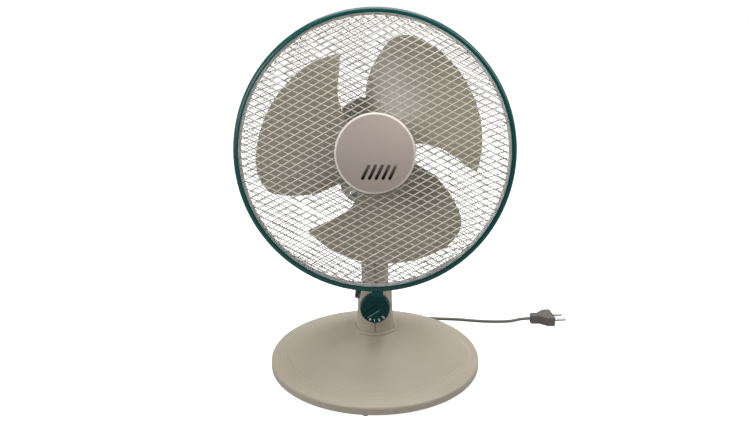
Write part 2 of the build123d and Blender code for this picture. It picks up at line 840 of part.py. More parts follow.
def crank_disc():
    disc = rod("z", crank_throw + crank_pin_r + crank_rim, crank_z - crank_disc_t, crank_z, 0, gear_y)
    disc -= rod("z", crank_shaft_r + seat_gap, 0, motor_h, 0, gear_y)
    return disc + rod("z", crank_pin_r, link_top + link_gap, crank_z, -crank_throw, gear_y)


def crank_link():
    start = (-stud_offset, 0)
    end = (-crank_throw, gear_y)
    length = math.hypot(end[0] - start[0], end[1] - start[1])
    lean = math.degrees(math.atan2(end[1] - start[1], end[0] - start[0]))
    bar = Pos(length / 2, 0) * Rectangle(length, link_w)
    bar += Circle(link_eye_r) + Pos(length, 0) * Circle(link_eye_r)
    bar -= Circle(stud_r + run_gap) + Pos(length, 0) * Circle(crank_pin_r + run_gap)
    return Pos(*start, link_top - link_t) * Rot(0, 0, lean) * extrude(bar, link_t)


def case_posts():
    """Corners of the gear case that carry the lid's screws."""
    inset = case_wall + case_post_r / 2
    xs = (case_x0 + inset, case_x1 - inset)
    ys = (bell_y1 + inset, case_y1 - inset)
    return [(x, y) for x in xs for y in ys]


def gear_case():
    outline = block(case_x0, case_x1, bell_y1, case_y1, case_z0, case_top)
    inner = block(
        case_x0 + case_wall, case_x1 - case_wall, bell_y1 + case_wall, case_y1 - case_wall,
        case_z0 + case_floor_t, case_top + 1,
    )
    case = outline - inner
    for x, y in case_posts():
        case += rod("z", case_post_r, case_z0, case_top, x, y) & outline
        case -= rod("z", screw_r + seat_gap, case_top - screw_l, case_top + 1, x, y)
    for side in (-1, 1):
        ear = front_prism(Pos(side * lug_x_off, -lug_z_off) * Circle(lug_r), bell_y1, bell_y1 + case_wall)
        hole = Pos(side * lug_x_off, -lug_z_off) * Circle(motor_bolt_r + hole_gap)
        hole = front_prism(hole, bell_y1 - 1, case_y1)
        ends = sorted((side * (lug_x_off - lug_r), side * (lug_x_off + lug_r)))
        ear += block(*ends, bell_y1, bell_y1 + case_wall, motor_h - lug_z_off, case_z0 + case_floor_t)
        case = case + ear - hole
    case -= motor_rod(bush_r, bell_y1 - 1, bell_y1 + case_wall + 1)
    case -= rod("z", crank_shaft_r + run_gap, case_z0 - 1, pinion_z(), 0, gear_y)
    case -= rod("z", spindle_r + run_gap, case_z0 + case_floor_t / 2, pinion_z(), gear_span, gear_y)
    case += motor_rod(cover_boss_r, case_y1, cover_y1 - cover_wall - loose_gap)
    return case - motor_rod(screw_r + seat_gap, cover_y1 - cover_wall - screw_l, cover_y1)


def gear_lid():
    lid = block(case_x0, case_x1, bell_y1, case_y1, case_top, case_top + case_lid_t)
    for x, y in case_posts():
        lid -= rod("z", screw_r + hole_gap, case_top - 1, case_top + case_lid_t + 1, x, y)
    return lid - rod("z", spindle_r + run_gap, case_top - 1, case_top + case_lid_t + 1, gear_span, gear_y)


def gear_screws():
    screw = Rot(180, 0, 0) * house_screw()
    return [Pos(x, y, case_top + case_lid_t) * screw for x, y in case_posts()]


def cover_front_y():
    """Station of the rear cover's front edge, behind the back plate."""
    return hub_shoulder_y() + 2 * loose_gap


def rear_cover():
    y0 = cover_front_y()
    length = cover_y1 - y0
    swell = length / 4

    def profile(inset, front):
        edge = cover_r - inset
        end = length - inset
        lines = chain((0, front), (cover_front_r - inset, front), (edge, swell))
        lines += chain((edge, swell), (edge, end), (0, end), (0, front))
        return turned(lines, [((edge, swell), swell), ((edge, end), cover_end_r)])

    cover = profile(0, 0) - profile(cover_wall, -1)
    for i in range(vent_count):
        along = (i - (vent_count - 1) / 2) * vent_pitch
        reach = math.sqrt(vent_reach**2 - along**2)
        if abs(along) > cover_boss_r + vent_w:
            slot = Box(2 * reach, vent_w, 4 * cover_wall)
            cover -= Pos(0, along, length) * fillet(slot.edges().filter_by(Axis.Z), vent_w / 3)
    cover = Pos(0, y0, motor_h) * Rot(-90, 0, 0) * cover
    cover -= block(-cover_gap_half_w, cover_gap_half_w, y0 - 1, cover_gap_end_y, 0, motor_h - stator_r)
    cover -= rod("z", swing_stem_r + loose_gap, case_top, motor_h + 2 * cover_r, gear_span, gear_y)
    return cover - motor_rod(screw_r + hole_gap, case_y1, cover_y1 + 1)


def cover_screw():
    return Pos(0, cover_y1, motor_h) * Rot(90, 0, 0) * house_screw()


def swing_knob():
    bottom = motor_h + math.sqrt(cover_r**2 - gear_span**2) + loose_gap
    bottom = max(bottom, motor_h + math.sqrt(cover_r**2 - (gear_span - swing_knob_r) ** 2) + loose_gap)
    knob = rod("z", swing_knob_r, bottom, bottom + swing_knob_h, gear_span, gear_y)
    knob = fillet(knob.edges().sort_by(Axis.Z)[-1], swing_knob_r / 3)
    heads_z = case_top + case_lid_t + screw_head_t
    knob += rod("z", swing_stem_r, heads_z + loose_gap, bottom, gear_span, gear_y)
    return knob + rod("z", swing_rod_r, pinion_z() + pinion_w, heads_z + 1, gear_span, gear_y)


# A guard's mesh is a shallow crown that bends down to a steep rim; wires follow its parallel plane sections
class GuardDome:
    def __init__(self, shift):
        slope = math.radians(guard_rim_slope)
        height = guard_depth - hoop_off
        self.cr = mesh_r - guard_bend_r * math.sin(slope)
        self.cz = hoop_off - guard_bend_r * math.cos(slope)
        lift = -guard_bend_r * math.cos(slope) - height
        crown = (guard_bend_r**2 - self.cr**2 - lift**2) / (2 * (lift + guard_bend_r))
        self.crown_z = guard_depth - crown
        self.bend = guard_bend_r + shift
        self.crown = crown + shift
        self.join = self.crown * self.cr / (crown - guard_bend_r)
        self.join_angle = math.asin(self.join / self.crown)
        self.end_r = self.cr + self.bend * math.sin(slope)

    def z(self, r):
        """Height of the surface at a radius from the axis."""
        if r < self.join:
            return self.crown_z + math.sqrt(self.crown**2 - r**2)
        return self.cz + math.sqrt(max(self.bend**2 - (r - self.cr) ** 2, 0.0))

    def radius(self, run):
        """Radius reached after a run along the surface from the axis."""
        crown_run = self.crown * self.join_angle
        if run < crown_run:
            return self.crown * math.sin(run / self.crown)
        return self.cr + self.bend * math.sin(self.join_angle + (run - crown_run) / self.bend)

    def length(self):
        """Run along the surface from the axis to the rim."""
        return self.crown * self.join_angle + self.bend * (math.radians(guard_rim_slope) - self.join_angle)


def guard_wire(surface, offset):
    """One wire across a dome, in the plane at an offset from its axis, as arcs that meet smoothly."""
    end = math.sqrt(surface.end_r**2 - offset**2)
    start = math.sqrt(max(surface.join**2 - offset**2, 0.0))
    runs = [start + (end - start) * i / bend_arcs for i in range(1, bend_arcs + 1)]
    if start > surface.join / 4:
        runs.insert(0, start)
    point = Vector(0, surface.z(offset))
    tangent = Vector(1, 0)
    arcs = []
    for run in runs:
        arc = TangentArc(point, (run, surface.z(math.hypot(run, offset))), tangent=tangent)
        arcs.append(arc)
        point, tangent = arc @ 1, arc % 1
    right = Curve() + arcs
    path = Wire(right.edges() + mirror(right, Plane.YZ).edges())
    return sweep(Plane(path @ 0, z_dir=path % 0) * Circle(guard_wire_r), path)


def guard_wires(shift, lean, hole_r=0.0):
    """One layer of parallel wires over a dome, leaning from the rows, clear of a hole at its middle."""
    surface = GuardDome(shift)
    wires = []
    for i in range(math.floor(surface.length() / wire_pitch + 0.5)):
        offset = surface.radius((i + 0.5) * wire_pitch)
        if 2 * math.sqrt(max(surface.end_r**2 - offset**2, 0.0)) < shortest_wire:
            continue
        wire = guard_wire(surface, offset)
        for side in (-1, 1):
            place = Rot(0, 0, row_lean + lean) * Pos(0, side * offset, 0) * Rot(90, 0, 0)
            placed = place * wire
            if offset < hole_r + guard_wire_r:
                placed -= rod("z", hole_r, 0, 2 * guard_depth)
            wires += placed.solids()
    return wires


def front_wires(layer):
    """The front mesh's outer or inner layer."""
    return [on_guard(wire) for wire in guard_wires((layer - 1) * layer_step / 2, layer * wire_lean)]


def rear_wires(layer):
    """The rear mesh's outer or inner layer, with a hole for the motor's hub."""
    wires = guard_wires((layer - 1) * layer_step / 2, layer * wire_lean, hub_thread_r + 2 * loose_gap)
    return [on_rear_guard(wire) for wire in wires]


def guard_hoops():
    hoop = Torus(rim_r, hoop_r)
    return [on_guard(Pos(0, 0, z) * hoop) for z in (hoop_off, -hoop_off)]


def dome_shell(outline, depth, thickness):
    """A plate that follows the mesh's crown, its outer face a depth below the mesh's outer layer."""
    surface = GuardDome(0)
    prism = Pos(0, 0, -guard_depth) * extrude(outline, 3 * guard_depth)
    shell = Sphere(surface.crown - depth) - Sphere(surface.crown - depth - thickness)
    return Pos(0, 0, surface.crown_z) * shell & prism


def plate_outline():
    """The rear guard plate's outline with its hole for the hub and its four screw holes."""
    outline = RectangleRounded(2 * plate_half_w, 2 * plate_half_h, plate_corner_r)
    outline -= Circle(hub_thread_r + loose_gap)
    for x, y in plate_screw_spots():
        outline -= Pos(x, y) * Circle(plate_screw_r + hole_gap)
    return outline


def plate_screw_spots():
    """Places of the four chrome screws about the motor axis, each in the middle of a mesh opening."""
    surface = GuardDome(0)
    first, second = (math.radians(90 + row_lean + lean) for lean in (wire_lean, -wire_lean))
    cross = math.sin(second - first)
    spots = []
    for i, j in plate_screw_cells:
        a, b = surface.radius(i * wire_pitch), surface.radius(j * wire_pitch)
        x = (a * math.sin(second) - b * math.sin(first)) / cross
        y = (b * math.cos(first) - a * math.cos(second)) / cross
        spots += [(x, y), (-x, -y)]
    return spots


def guard_plate():
    return on_rear_guard(dome_shell(plate_outline(), mesh_under, guard_plate_t))


def back_plate():
    return on_rear_guard(dome_shell(plate_outline(), -mesh_over - back_plate_t, back_plate_t))


def plate_screws():
    surface = GuardDome(0)
    reach = max(math.hypot(x, z) for x, z in plate_screw_spots())
    sag = guard_depth - surface.z(reach + plate_screw_head_r)
    front = guard_crown_y() - sag - mesh_under - guard_plate_t
    back = guard_crown_y() - sag + mesh_over + back_plate_t + 2 * loose_gap
    length = back + plate_nut_t - front
    screw = Rot(-90, 0, 0) * pan_screw(plate_screw_r, length, plate_screw_head_r, plate_screw_head_t)
    nut = Rot(-90, 0, 0) * hex_nut(plate_screw_r + seat_gap, plate_screw_head_r, plate_nut_t)
    pieces = []
    for x, y in plate_screw_spots():
        pieces.append(Pos(x, front, motor_h - y) * screw)
        pieces.append(Pos(x, back, motor_h - y) * nut)
    return pieces


def guard_nut():
    front = guard_nut_y() - guard_nut_t
    nut = motor_rod(guard_nut_r, front, guard_nut_y())
    for x, z in around(guard_nut_ribs, guard_nut_r):
        nut -= rod("y", guard_nut_r / 10, front - 1, guard_nut_y() + 1, x, motor_h + z)
    return nut - motor_rod(hub_thread_r + seat_gap, front - 1, guard_nut_y() + 1)


def ring_lug_angle():
    """Angle of the ring's lug about the head axis, from straight down."""
    return math.degrees(math.asin(lug_x / ring_r))


def guard_ring():
    outside = Pos(ring_r - ring_lip / 2, 0) * Rectangle(ring_lip, ring_w)
    outside = fillet(outside.vertices().group_by(Axis.X)[-1], ring_edge_r)
    inside = Pos(ring_r - ring_lip / 2 - ring_wall, 0) * Rectangle(ring_lip, ring_w - 2 * ring_wall)
    ring = revolve(Plane.XZ * (outside - inside), Axis.Z)
    top = ring_r - ring_wall / 2
    x0, x1 = clip_x - clip_w / 2, clip_x + clip_w / 2
    tab = block(x0, x1, -ring_r - clip_reach, -top, -clip_half_l, clip_half_l)
    tab = fillet(tab.edges().filter_by(Axis.Z).sort_by(Axis.Y)[:2], clip_edge_r)
    ring += tab
    lug = Rot(0, 0, ring_lug_angle()) * rod("y", ring_lug_r, -ring_r - ring_lug_h, -top)
    hole = rod("y", ring_screw_r + seat_gap, -ring_r - ring_lug_h - 1, ring_wall - top)
    return on_guard(ring + lug - Rot(0, 0, ring_lug_angle()) * hole)


def ring_screw():
    length = ring_lug_h + ring_wall
    screw = pan_screw(ring_screw_r, length, ring_screw_head_r, ring_screw_head_t)
    seat = ring_r + ring_lug_h
    return on_guard(Rot(0, 0, ring_lug_angle()) * Pos(0, -seat, 0) * Rot(-90, 0, 0) * screw)


def cap_slots(top):
    """The cap's slanted slots, with floors that slope down and a shallow step round each mouth."""
    lean = math.radians(slot_lean)
    slope = math.degrees(math.atan2(slot_deep - slot_shallow, slot_l * math.cos(lean)))
    room = Box(2 * cap_r, 2 * cap_r, 2 * slot_deep, align=(Align.CENTER, Align.CENTER, Align.MIN))
    room = Pos(slot_x, -slot_drop, top - (slot_shallow + slot_deep) / 2) * Rot(slope, 0, 0) * room
    slots = []
    for i in range(slot_count):
        along = slot_x + (i - (slot_count - 1) / 2) * slot_pitch
        place = Pos(along, -slot_drop, top - 2 * slot_deep) * Rot(0, 0, -slot_lean)
        slots.append(place * extrude(SlotOverall(slot_l, slot_w, rotation=90), 3 * slot_deep) & room)
        mouth = SlotOverall(slot_l + 2 * slot_lip, slot_w + 2 * slot_lip, rotation=90)
        slots.append(place * extrude(mouth, 3 * slot_deep) - cap_ball(top, slot_lip))
    return slots


def cap_pad(top):
    """The block behind the cap's face that the slots are sunk into."""
    lean = math.radians(slot_lean)
    width = (slot_count - 1) * slot_pitch + slot_w / math.cos(lean) + slot_l * math.sin(lean) + 2 * cap_wall
    height = slot_l * math.cos(lean) + 2 * cap_wall
    outline = Pos(slot_x, -slot_drop, top - slot_deep - cap_wall) * Rectangle(width, height)
    return extrude(outline, slot_deep + cap_wall) & cap_ball(top, cap_wall / 2)


def cap_ball(top, inset):
    """The ball that the cap's face is a part of, smaller by an inset."""
    face_r = (cap_r**2 + cap_dome**2) / (2 * cap_dome)
    return Pos(0, 0, top - face_r) * Rot(90, 0, 0) * Sphere(face_r - inset)


def front_cap():
    surface = GuardDome(0)
    bottom = guard_depth - cap_skirt
    top = guard_depth + cap_rise
    cap = rod("z", cap_r, bottom, top) & cap_ball(top, 0)
    cap = fillet(cap.edges().sort_by(Axis.Z)[-1], cap_edge_r)
    cap -= rod("z", cap_r - cap_wall, bottom - 1, top) & cap_ball(top, cap_wall)
    cap += cap_pad(top)
    for slot in cap_slots(top):
        cap -= slot
    cap -= Pos(0, 0, surface.crown_z) * Sphere(surface.crown + guard_wire_r + loose_gap)
    post_end = guard_depth - mesh_under - cap_backing_t - 1
    return on_guard(cap + rod("z", cap_post_r, post_end, top - cap_wall / 2))


def cap_backing():
    outline = Circle(cap_backing_r) - Circle(cap_post_r + seat_gap)
    return on_guard(dome_shell(outline, mesh_under, cap_backing_t))


def polar(points):
    """Plain coordinates of (angle, radius) points."""
    return [(r * math.cos(math.radians(a)), r * math.sin(math.radians(a))) for a, r in points]


def blade_outline():
    """One blade seen from the front: a swept edge, a round corner, a tip that draws in, and a hollow tail."""
    root_r = blade_hub_r - blade_hub_wall
    start, end = polar([(blade_root_angles[0], root_r), (blade_root_angles[1], root_r)])
    edge = Spline(*([start] + polar(blade_edge + blade_corner + blade_tip)))
    tail = Spline(*(polar(blade_tip[-1:] + blade_tail) + [end]))
    return make_face([edge, tail, Line(end, start)])


def blade_sheet():
    """The blade's helical sheet, its swept edge set back and its tail set forward."""
    rows = []
    for i in range(8):
        r = (0.5 + 0.07 * i) * blade_hub_r + i * (ring_r - blade_hub_r) / 7
        row = []
        for j in range(13):
            angle = blade_mid_angle - 75 + 12.5 * j
            turn = math.radians(angle - blade_mid_angle)
            row.append((*polar([(angle, r)])[0], -blade_rise * turn))
        rows.append(row)
    return Face.make_surface_from_array_of_points(rows)


def fan_blades():
    half = blade_hub_l / 2
    blade = thicken(blade_sheet(), blade_t / 2, both=True)
    blade &= Pos(0, 0, -ring_w * 4) * extrude(blade_outline(), ring_w * 8)
    hub = rod("z", blade_hub_r, -half, half)
    hub = fillet(hub.edges().sort_by(Axis.Z)[-1], blade_hub_r / 5)
    hub -= rod("z", blade_hub_r - blade_hub_wall, -half - 1, half - 2 * blade_hub_wall)
    core = rod("z", blade_hub_r - blade_hub_wall, -half, half - 2 * blade_hub_wall)
    for i in range(blade_count):
        hub += Rot(0, 0, 360 * i / blade_count) * blade - core
    hub += rod("z", blade_boss_r, -half, half - blade_hub_wall)
    hub -= rod("z", shaft_r + seat_gap, -half - 1, half + 1)
    slot_half = drive_pin_l / 2 + loose_gap
    pin_r = drive_pin_r + seat_gap
    hub -= block(-slot_half, slot_half, -pin_r, pin_r, -half - 1, drive_pin_inset - half)
    hub -= rod("x", pin_r, -slot_half, slot_half, 0, drive_pin_inset - half)
    return on_guard(Pos(0, 0, blade_back) * hub)


def blade_nut():
    bottom = blade_back + blade_hub_l / 2
    nut = rod("z", nut_r, bottom, bottom + nut_l)
    nut = fillet(nut.edges().sort_by(Axis.Z)[-1], nut_edge_r)
    return on_guard(nut - rod("z", thread_r + seat_gap, bottom - 1, bottom + nut_l - nut_edge_r + 1))


def cord_radii(points):
    """The largest arc that each corner of the cord's route has room for."""
    vectors = [Vector(*p) for p in points]
    radii = []
    for a, b, c in zip(vectors, vectors[1:], vectors[2:]):
        turn = math.radians((b - a).get_angle(c - b))
        radii.append(0.45 * min((b - a).length, (c - b).length) / math.tan(turn / 2))
    return radii


def cord_tube(points):
    """A round tube along a route of straight runs and tangent arcs."""
    radii = cord_radii(points)
    print("cord radii", [round(r) for r in radii])
    path = FilletPolyline(*points, radius=radii)
    tube = sweep(Plane(path @ 0, z_dir=path % 0) * Circle(cord_r), path)
    print("cord tube volume share", round(tube.volume / (math.pi * cord_r**2 * path.length), 4))
    return tube


def strain_relief():
    inner_y = base_r - base_wall
    relief = rod("y", relief_r, inner_y - relief_inner_l, base_r, 0, relief_z)
    cone = Pos(0, base_r + relief_l / 2, relief_z) * Rot(-90, 0, 0) * Cone(relief_r, relief_tip_r, relief_l)
    return relief + cone


def mains_cord():
    return [cord_tube(cord_in), cord_tube(cord_out)]


def cord_hank():
    hank = block(-hank_w / 2, hank_w / 2, hank_y, hank_y + hank_l, 0, hank_h)
    hank = fillet(hank.edges().filter_by(Axis.Z), hank_w / 2 - hank_edge_r)
    return fillet(hank.edges().group_by(Axis.Z)[-1], hank_edge_r)


def plug_place():
    """Where the cord enters the plug, lying flat and in line with the cord."""
    tail, end = Vector(*cord_out[-2]), Vector(*cord_out[-1])
    lean = math.degrees(math.atan2(end.Y - tail.Y, end.X - tail.X))
    return Pos(end.X, end.Y, plug_h / 2) * Rot(0, 0, lean)


def plug_body():
    half, tail = plug_w / 2, plug_tail_w / 2
    outline = [(0, -tail), (plug_l / 3, -tail), (2 * plug_l / 3, -half), (plug_l, -half)]
    outline += [(x, -y) for x, y in reversed(outline)]
    body = Pos(0, 0, -plug_h / 2) * extrude(make_face(Polyline(*outline, close=True)), plug_h)
    body = fillet(body.edges().filter_by(Axis.Z), plug_edge_r)
    for side in (-1, 1):
        body -= rod("x", plug_pin_r + seat_gap, plug_l / 2, plug_l + 1, side * plug_pin_gap / 2, 0)
    return plug_place() * body


def plug_pins():
    pins = []
    for side in (-1, 1):
        pin = rod("x", plug_pin_r, plug_l / 2, plug_l + plug_pin_l, side * plug_pin_gap / 2, 0)
        pins.append(plug_place() * fillet(pin.edges().sort_by(Axis.X)[-1], plug_pin_r / 2))
    return pins


# The pieces that stay with the base
neck = neck_shell()
standing = {
    "base_cover": base_cover(),
    "base_plate": base_plate(),
    "base_weight": base_weight(),
    "base_feet": base_feet(),
    "base_screws": base_screws(),
    "neck_left": neck_half(neck, -1),
    "neck_right": neck_half(neck, 1),
    "neck_screws": neck_screws(),
    "switch_body": switch_body(),
    "switch_shaft": switch_shaft(),
    "speed_knob": speed_knob(),
    "tilt_bolt": tilt_bolt(),
    "tilt_nut": tilt_nut(),
    "strain_relief": strain_relief(),
    "mains_cord": mains_cord(),
    "cord_hank": cord_hank(),
    "plug_body": plug_body(),
    "plug_pins": plug_pins(),
}

# The pieces that tilt
tilting = {
    "tilt_knuckle": tilt_knuckle(),
    "swivel_pin": swivel_pin(),
    "thrust_washer": thrust_washer(),
    "swivel_clip": swivel_clip(),
    "crank_link": crank_link(),
    "motor_bracket": motor_bracket(),
    "front_bell": front_bell(),
    "rear_bell": rear_bell(),
    "stator_core": stator_core(),
    "stator_windings": stator_windings(),
    "shaft_bushes": shaft_bushes(),
    "motor_bolts": motor_bolts(),
    "rotor_core": rotor_core(),
    "motor_shaft": motor_shaft(),
    "drive_pin": drive_pin(),
    "drive_worm": drive_worm(),
    "worm_wheel": worm_wheel(),
    "gear_spindle": gear_spindle(),
    "crank_gear": crank_gear(),
    "crank_disc": crank_disc(),
    "gear_case": gear_case(),
    "gear_lid": gear_lid(),
    "gear_screws": gear_screws(),
    "rear_cover": rear_cover(),
    "cover_screw": cover_screw(),
    "swing_knob": swing_knob(),
    "front_wires_outer": front_wires(1),
    "front_wires_inner": front_wires(-1),
    "rear_wires_outer": rear_wires(1),
    "rear_wires_inner": rear_wires(-1),
    "guard_hoops": guard_hoops(),
    "guard_plate": guard_plate(),
    "back_plate": back_plate(),
    "plate_screws": plate_screws(),
    "guard_nut": guard_nut(),
    "guard_ring": guard_ring(),
    "ring_screw": ring_screw(),
    "front_cap": front_cap(),
    "cap_backing": cap_backing(),
    "fan_blades": fan_blades(),
    "blade_nut": blade_nut(),
}


def save(name, shape):
    """Write one node, as one solid or as a group of separate solids."""
    group = Compound(children=shape) if isinstance(shape, list) else shape
    export_step(group, os.path.join("parts", name + ".step"))


os.makedirs("parts", exist_ok=True)
for name, shape in standing.items():
    save(name, shape)
for name, shape in tilting.items():
    placed = [in_head(s) for s in shape] if isinstance(shape, list) else in_head(shape)
    save(name, placed)
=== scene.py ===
"""A desk fan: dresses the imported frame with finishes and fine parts, and sets it in a pale studio."""

from __future__ import annotations

import logging
import math
from dataclasses import dataclass, field
from enum import Enum
from typing import Any, Dict, List, Optional, Sequence, Tuple

import bmesh
import bpy
from mathutils import Matrix, Vector

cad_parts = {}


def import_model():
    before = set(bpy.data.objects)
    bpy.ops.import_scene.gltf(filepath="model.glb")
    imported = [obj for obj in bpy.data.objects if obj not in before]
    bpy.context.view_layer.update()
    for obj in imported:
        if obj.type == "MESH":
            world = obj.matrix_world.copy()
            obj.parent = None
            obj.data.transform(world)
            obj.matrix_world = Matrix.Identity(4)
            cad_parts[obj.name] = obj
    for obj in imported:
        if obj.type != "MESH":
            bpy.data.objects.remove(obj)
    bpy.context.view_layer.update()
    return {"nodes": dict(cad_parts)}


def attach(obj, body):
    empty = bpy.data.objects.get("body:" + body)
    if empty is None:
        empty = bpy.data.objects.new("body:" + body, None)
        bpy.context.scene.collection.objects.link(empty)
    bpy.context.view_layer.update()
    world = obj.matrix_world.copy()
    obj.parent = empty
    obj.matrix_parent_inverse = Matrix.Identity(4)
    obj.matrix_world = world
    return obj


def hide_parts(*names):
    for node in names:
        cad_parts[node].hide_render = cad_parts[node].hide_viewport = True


LOG = logging.getLogger("desk_fan")
Piece = bpy.types.Object
NodeSocket = bpy.types.NodeSocket
Pair = Tuple[float, float]
Point = Tuple[float, float, float]
Colour = Tuple[float, float, float]

MM = 0.001
MIDDLE = 0.5  # the level that a noise varies about
BAND = math.pi / 10  # length of one band of a wave texture at a scale of one
EVEN: Point = (1.0, 1.0, 1.0)  # the stretch of a grain that runs no particular way


def linear(red: int, green: int, blue: int) -> Colour:
    """Turn a display colour of 0 to 255 into the linear colour that a shader takes.

    Args:
        red: The display red.
        green: The display green.
        blue: The display blue.

    Returns:
        The linear colour.
    """

    def channel(level: int) -> float:
        """Linear level of one channel."""
        share = level / 255
        return share / 12.92 if share <= 0.04045 else ((share + 0.055) / 1.055) ** 2.4

    return channel(red), channel(green), channel(blue)


class Socket:
    """A shader socket that takes part in Python arithmetic."""

    def __init__(self, graph: "Graph", out: NodeSocket) -> None:
        """Keep a node's output and the graph that it is in."""
        self.graph = graph
        self.out = out

    def _math(self, operation: str, left: Any, right: Any) -> "Socket":
        """Add one Math node for a binary operation."""
        return self.graph.node("ShaderNodeMath", {"operation": operation}, {0: left, 1: right})

    def __add__(self, other: Any) -> "Socket":
        """Sum."""
        return self._math("ADD", self, other)

    def __radd__(self, other: Any) -> "Socket":
        """Reflected sum."""
        return self._math("ADD", other, self)

    def __sub__(self, other: Any) -> "Socket":
        """Difference."""
        return self._math("SUBTRACT", self, other)

    def __rsub__(self, other: Any) -> "Socket":
        """Reflected difference."""
        return self._math("SUBTRACT", other, self)

    def __mul__(self, other: Any) -> "Socket":
        """Product."""
        return self._math("MULTIPLY", self, other)

    def __rmul__(self, other: Any) -> "Socket":
        """Reflected product."""
        return self._math("MULTIPLY", other, self)


class Graph:
    """One material's node tree, built from expressions."""

    def __init__(self, name: str) -> None:
        """Start a material with a single Principled shader.

        Args:
            name: The material's name.
        """
        self.material = bpy.data.materials.new(name)
        self.material.use_nodes = True
        self.tree = self.material.node_tree
        self.shader = next(n for n in self.tree.nodes if n.type == "BSDF_PRINCIPLED")
        self._place: Optional[Socket] = None

    def node(self, kind: str, settings: Dict[str, Any], inputs: Dict[Any, Any], out: Any = 0) -> Socket:
        """Add a node.

        Args:
            kind: Blender's type name of the node.
            settings: Properties, set first; "stops" gives a ramp its positions and grey levels.
            inputs: Values or links, by the socket's name or index.
            out: Name or index of the output to give back.

        Returns:
            The chosen output.
        """
        made = self.tree.nodes.new(kind)
        for key, value in settings.items():
            if key == "stops":
                for stop, (position, level) in zip(made.color_ramp.elements, value):
                    stop.position = position
                    stop.color = (level, level, level, 1)
            else:
                setattr(made, key, value)
        for key, value in inputs.items():
            self.feed(made.inputs[key], value)
        return Socket(self, made.outputs[out])

    def feed(self, socket: NodeSocket, value: Any) -> None:
        """Link a socket, or set its value.

        Args:
            socket: The input to feed.
            value: A socket to link, a colour or a plain value.
        """
        if isinstance(value, Socket):
            self.tree.links.new(value.out, socket)
        elif isinstance(value, tuple) and len(value) == 3 and socket.type == "RGBA":
            socket.default_value = (*value, 1)
        else:
            socket.default_value = value

    def set(self, **values: Any) -> None:
        """Feed the shader's sockets, named with underscores for spaces."""
        for key, value in values.items():
            self.feed(self.shader.inputs[key.replace("_", " ")], value)

    def place(self) -> Socket:
        """The Object coordinates, from one node for the whole graph.

        Returns:
            The coordinates.
        """
        if self._place is None:
            self._place = self.node("ShaderNodeTexCoord", {}, {}, "Object")
        return self._place

    def noise(self, size: float, detail: float = 2.0, place: Optional[Socket] = None) -> Socket:
        """A cloud of values about a half.

        Args:
            size: Rough size of a blot in metres.
            detail: Octaves of detail.
            place: Coordinates, or none for the object's own.

        Returns:
            The value.
        """
        inputs = {"Vector": place or self.place(), "Scale": 1 / size, "Detail": detail}
        return self.node("ShaderNodeTexNoise", {}, inputs, "Fac")

    def stretched(self, x: float, y: float, z: float) -> Socket:
        """Object coordinates scaled by axis."""
        return self.node("ShaderNodeMapping", {}, {"Vector": self.place(), "Scale": (x, y, z)})

    def distance(self, point: Point) -> Socket:
        """Distance in metres from a point of the scene."""
        settings = {"operation": "DISTANCE"}
        return self.node("ShaderNodeVectorMath", settings, {0: self.place(), 1: point}, "Value")

    def rise(self, value: Socket, low: float, high: float) -> Socket:
        """A value's straight rise from zero at a low level to one at a high level."""
        inputs = {"Value": value, "From Min": low, "From Max": high}
        return self.node("ShaderNodeMapRange", {}, inputs, "Result")

    def ramp(self, value: Socket, low: float, high: float) -> Socket:
        """A value spread from zero at a low level to one at a high level."""
        settings = {"stops": ((low, 0.0), (high, 1.0))}
        return self.node("ShaderNodeValToRGB", settings, {"Fac": value}, "Color")

    def mix(self, share: Any, first: Any, second: Any) -> Socket:
        """Mix two colours by a share."""
        # The node has sockets for every kind of value; 0, 6 and 7, and 2 going out, are those for colours.
        return self.node("ShaderNodeMix", {"data_type": "RGBA"}, {0: share, 6: first, 7: second}, 2)

    def bump(self, height: Socket, depth: float) -> Socket:
        """A normal from a height that is a given depth in metres."""
        inputs = {"Strength": 1.0, "Distance": depth, "Height": height}
        return self.node("ShaderNodeBump", {}, inputs, "Normal")


@dataclass(frozen=True)
class Head:
    """Where the head's pieces lie: drawn level about the tilt axis, then tipped back."""

    tilt_height: float = 225.0
    rest_tilt: float = 10.0
    motor_height: float = 84.0
    ring_forward: float = 78.6

    def level(self) -> Matrix:
        """From the level head, in millimetres, to the scene."""
        tip = Matrix.Rotation(math.radians(-self.rest_tilt), 4, "X")
        return Matrix.Scale(MM, 4) @ Matrix.Translation((0, 0, self.tilt_height)) @ tip

    def guard(self, rear: bool) -> Matrix:
        """From a guard's own frame, its crown along +Z, to the scene."""
        turn = Matrix.Rotation(math.radians(-90 if rear else 90), 4, "X")
        return self.level() @ Matrix.Translation((0, -self.ring_forward, self.motor_height)) @ turn


@dataclass(frozen=True)
class Recipe:
    """A finish: its name, its colour and how it feeds the shader."""

    name: str
    colour: Colour

    def tint(self, share: float) -> Colour:
        """The colour made lighter or darker by a share."""
        return tuple(min(max(level * share, 0.0), 1.0) for level in self.colour)  # type: ignore[return-value]

    def make(self) -> bpy.types.Material:
        """Build the material.

        Returns:
            The material.
        """
        g = Graph("fan_" + self.name)
        self.paint(g)
        return g.material

    def paint(self, g: Graph) -> None:
        """Feed the shader; every kind of finish does it in its own way."""
        raise NotImplementedError


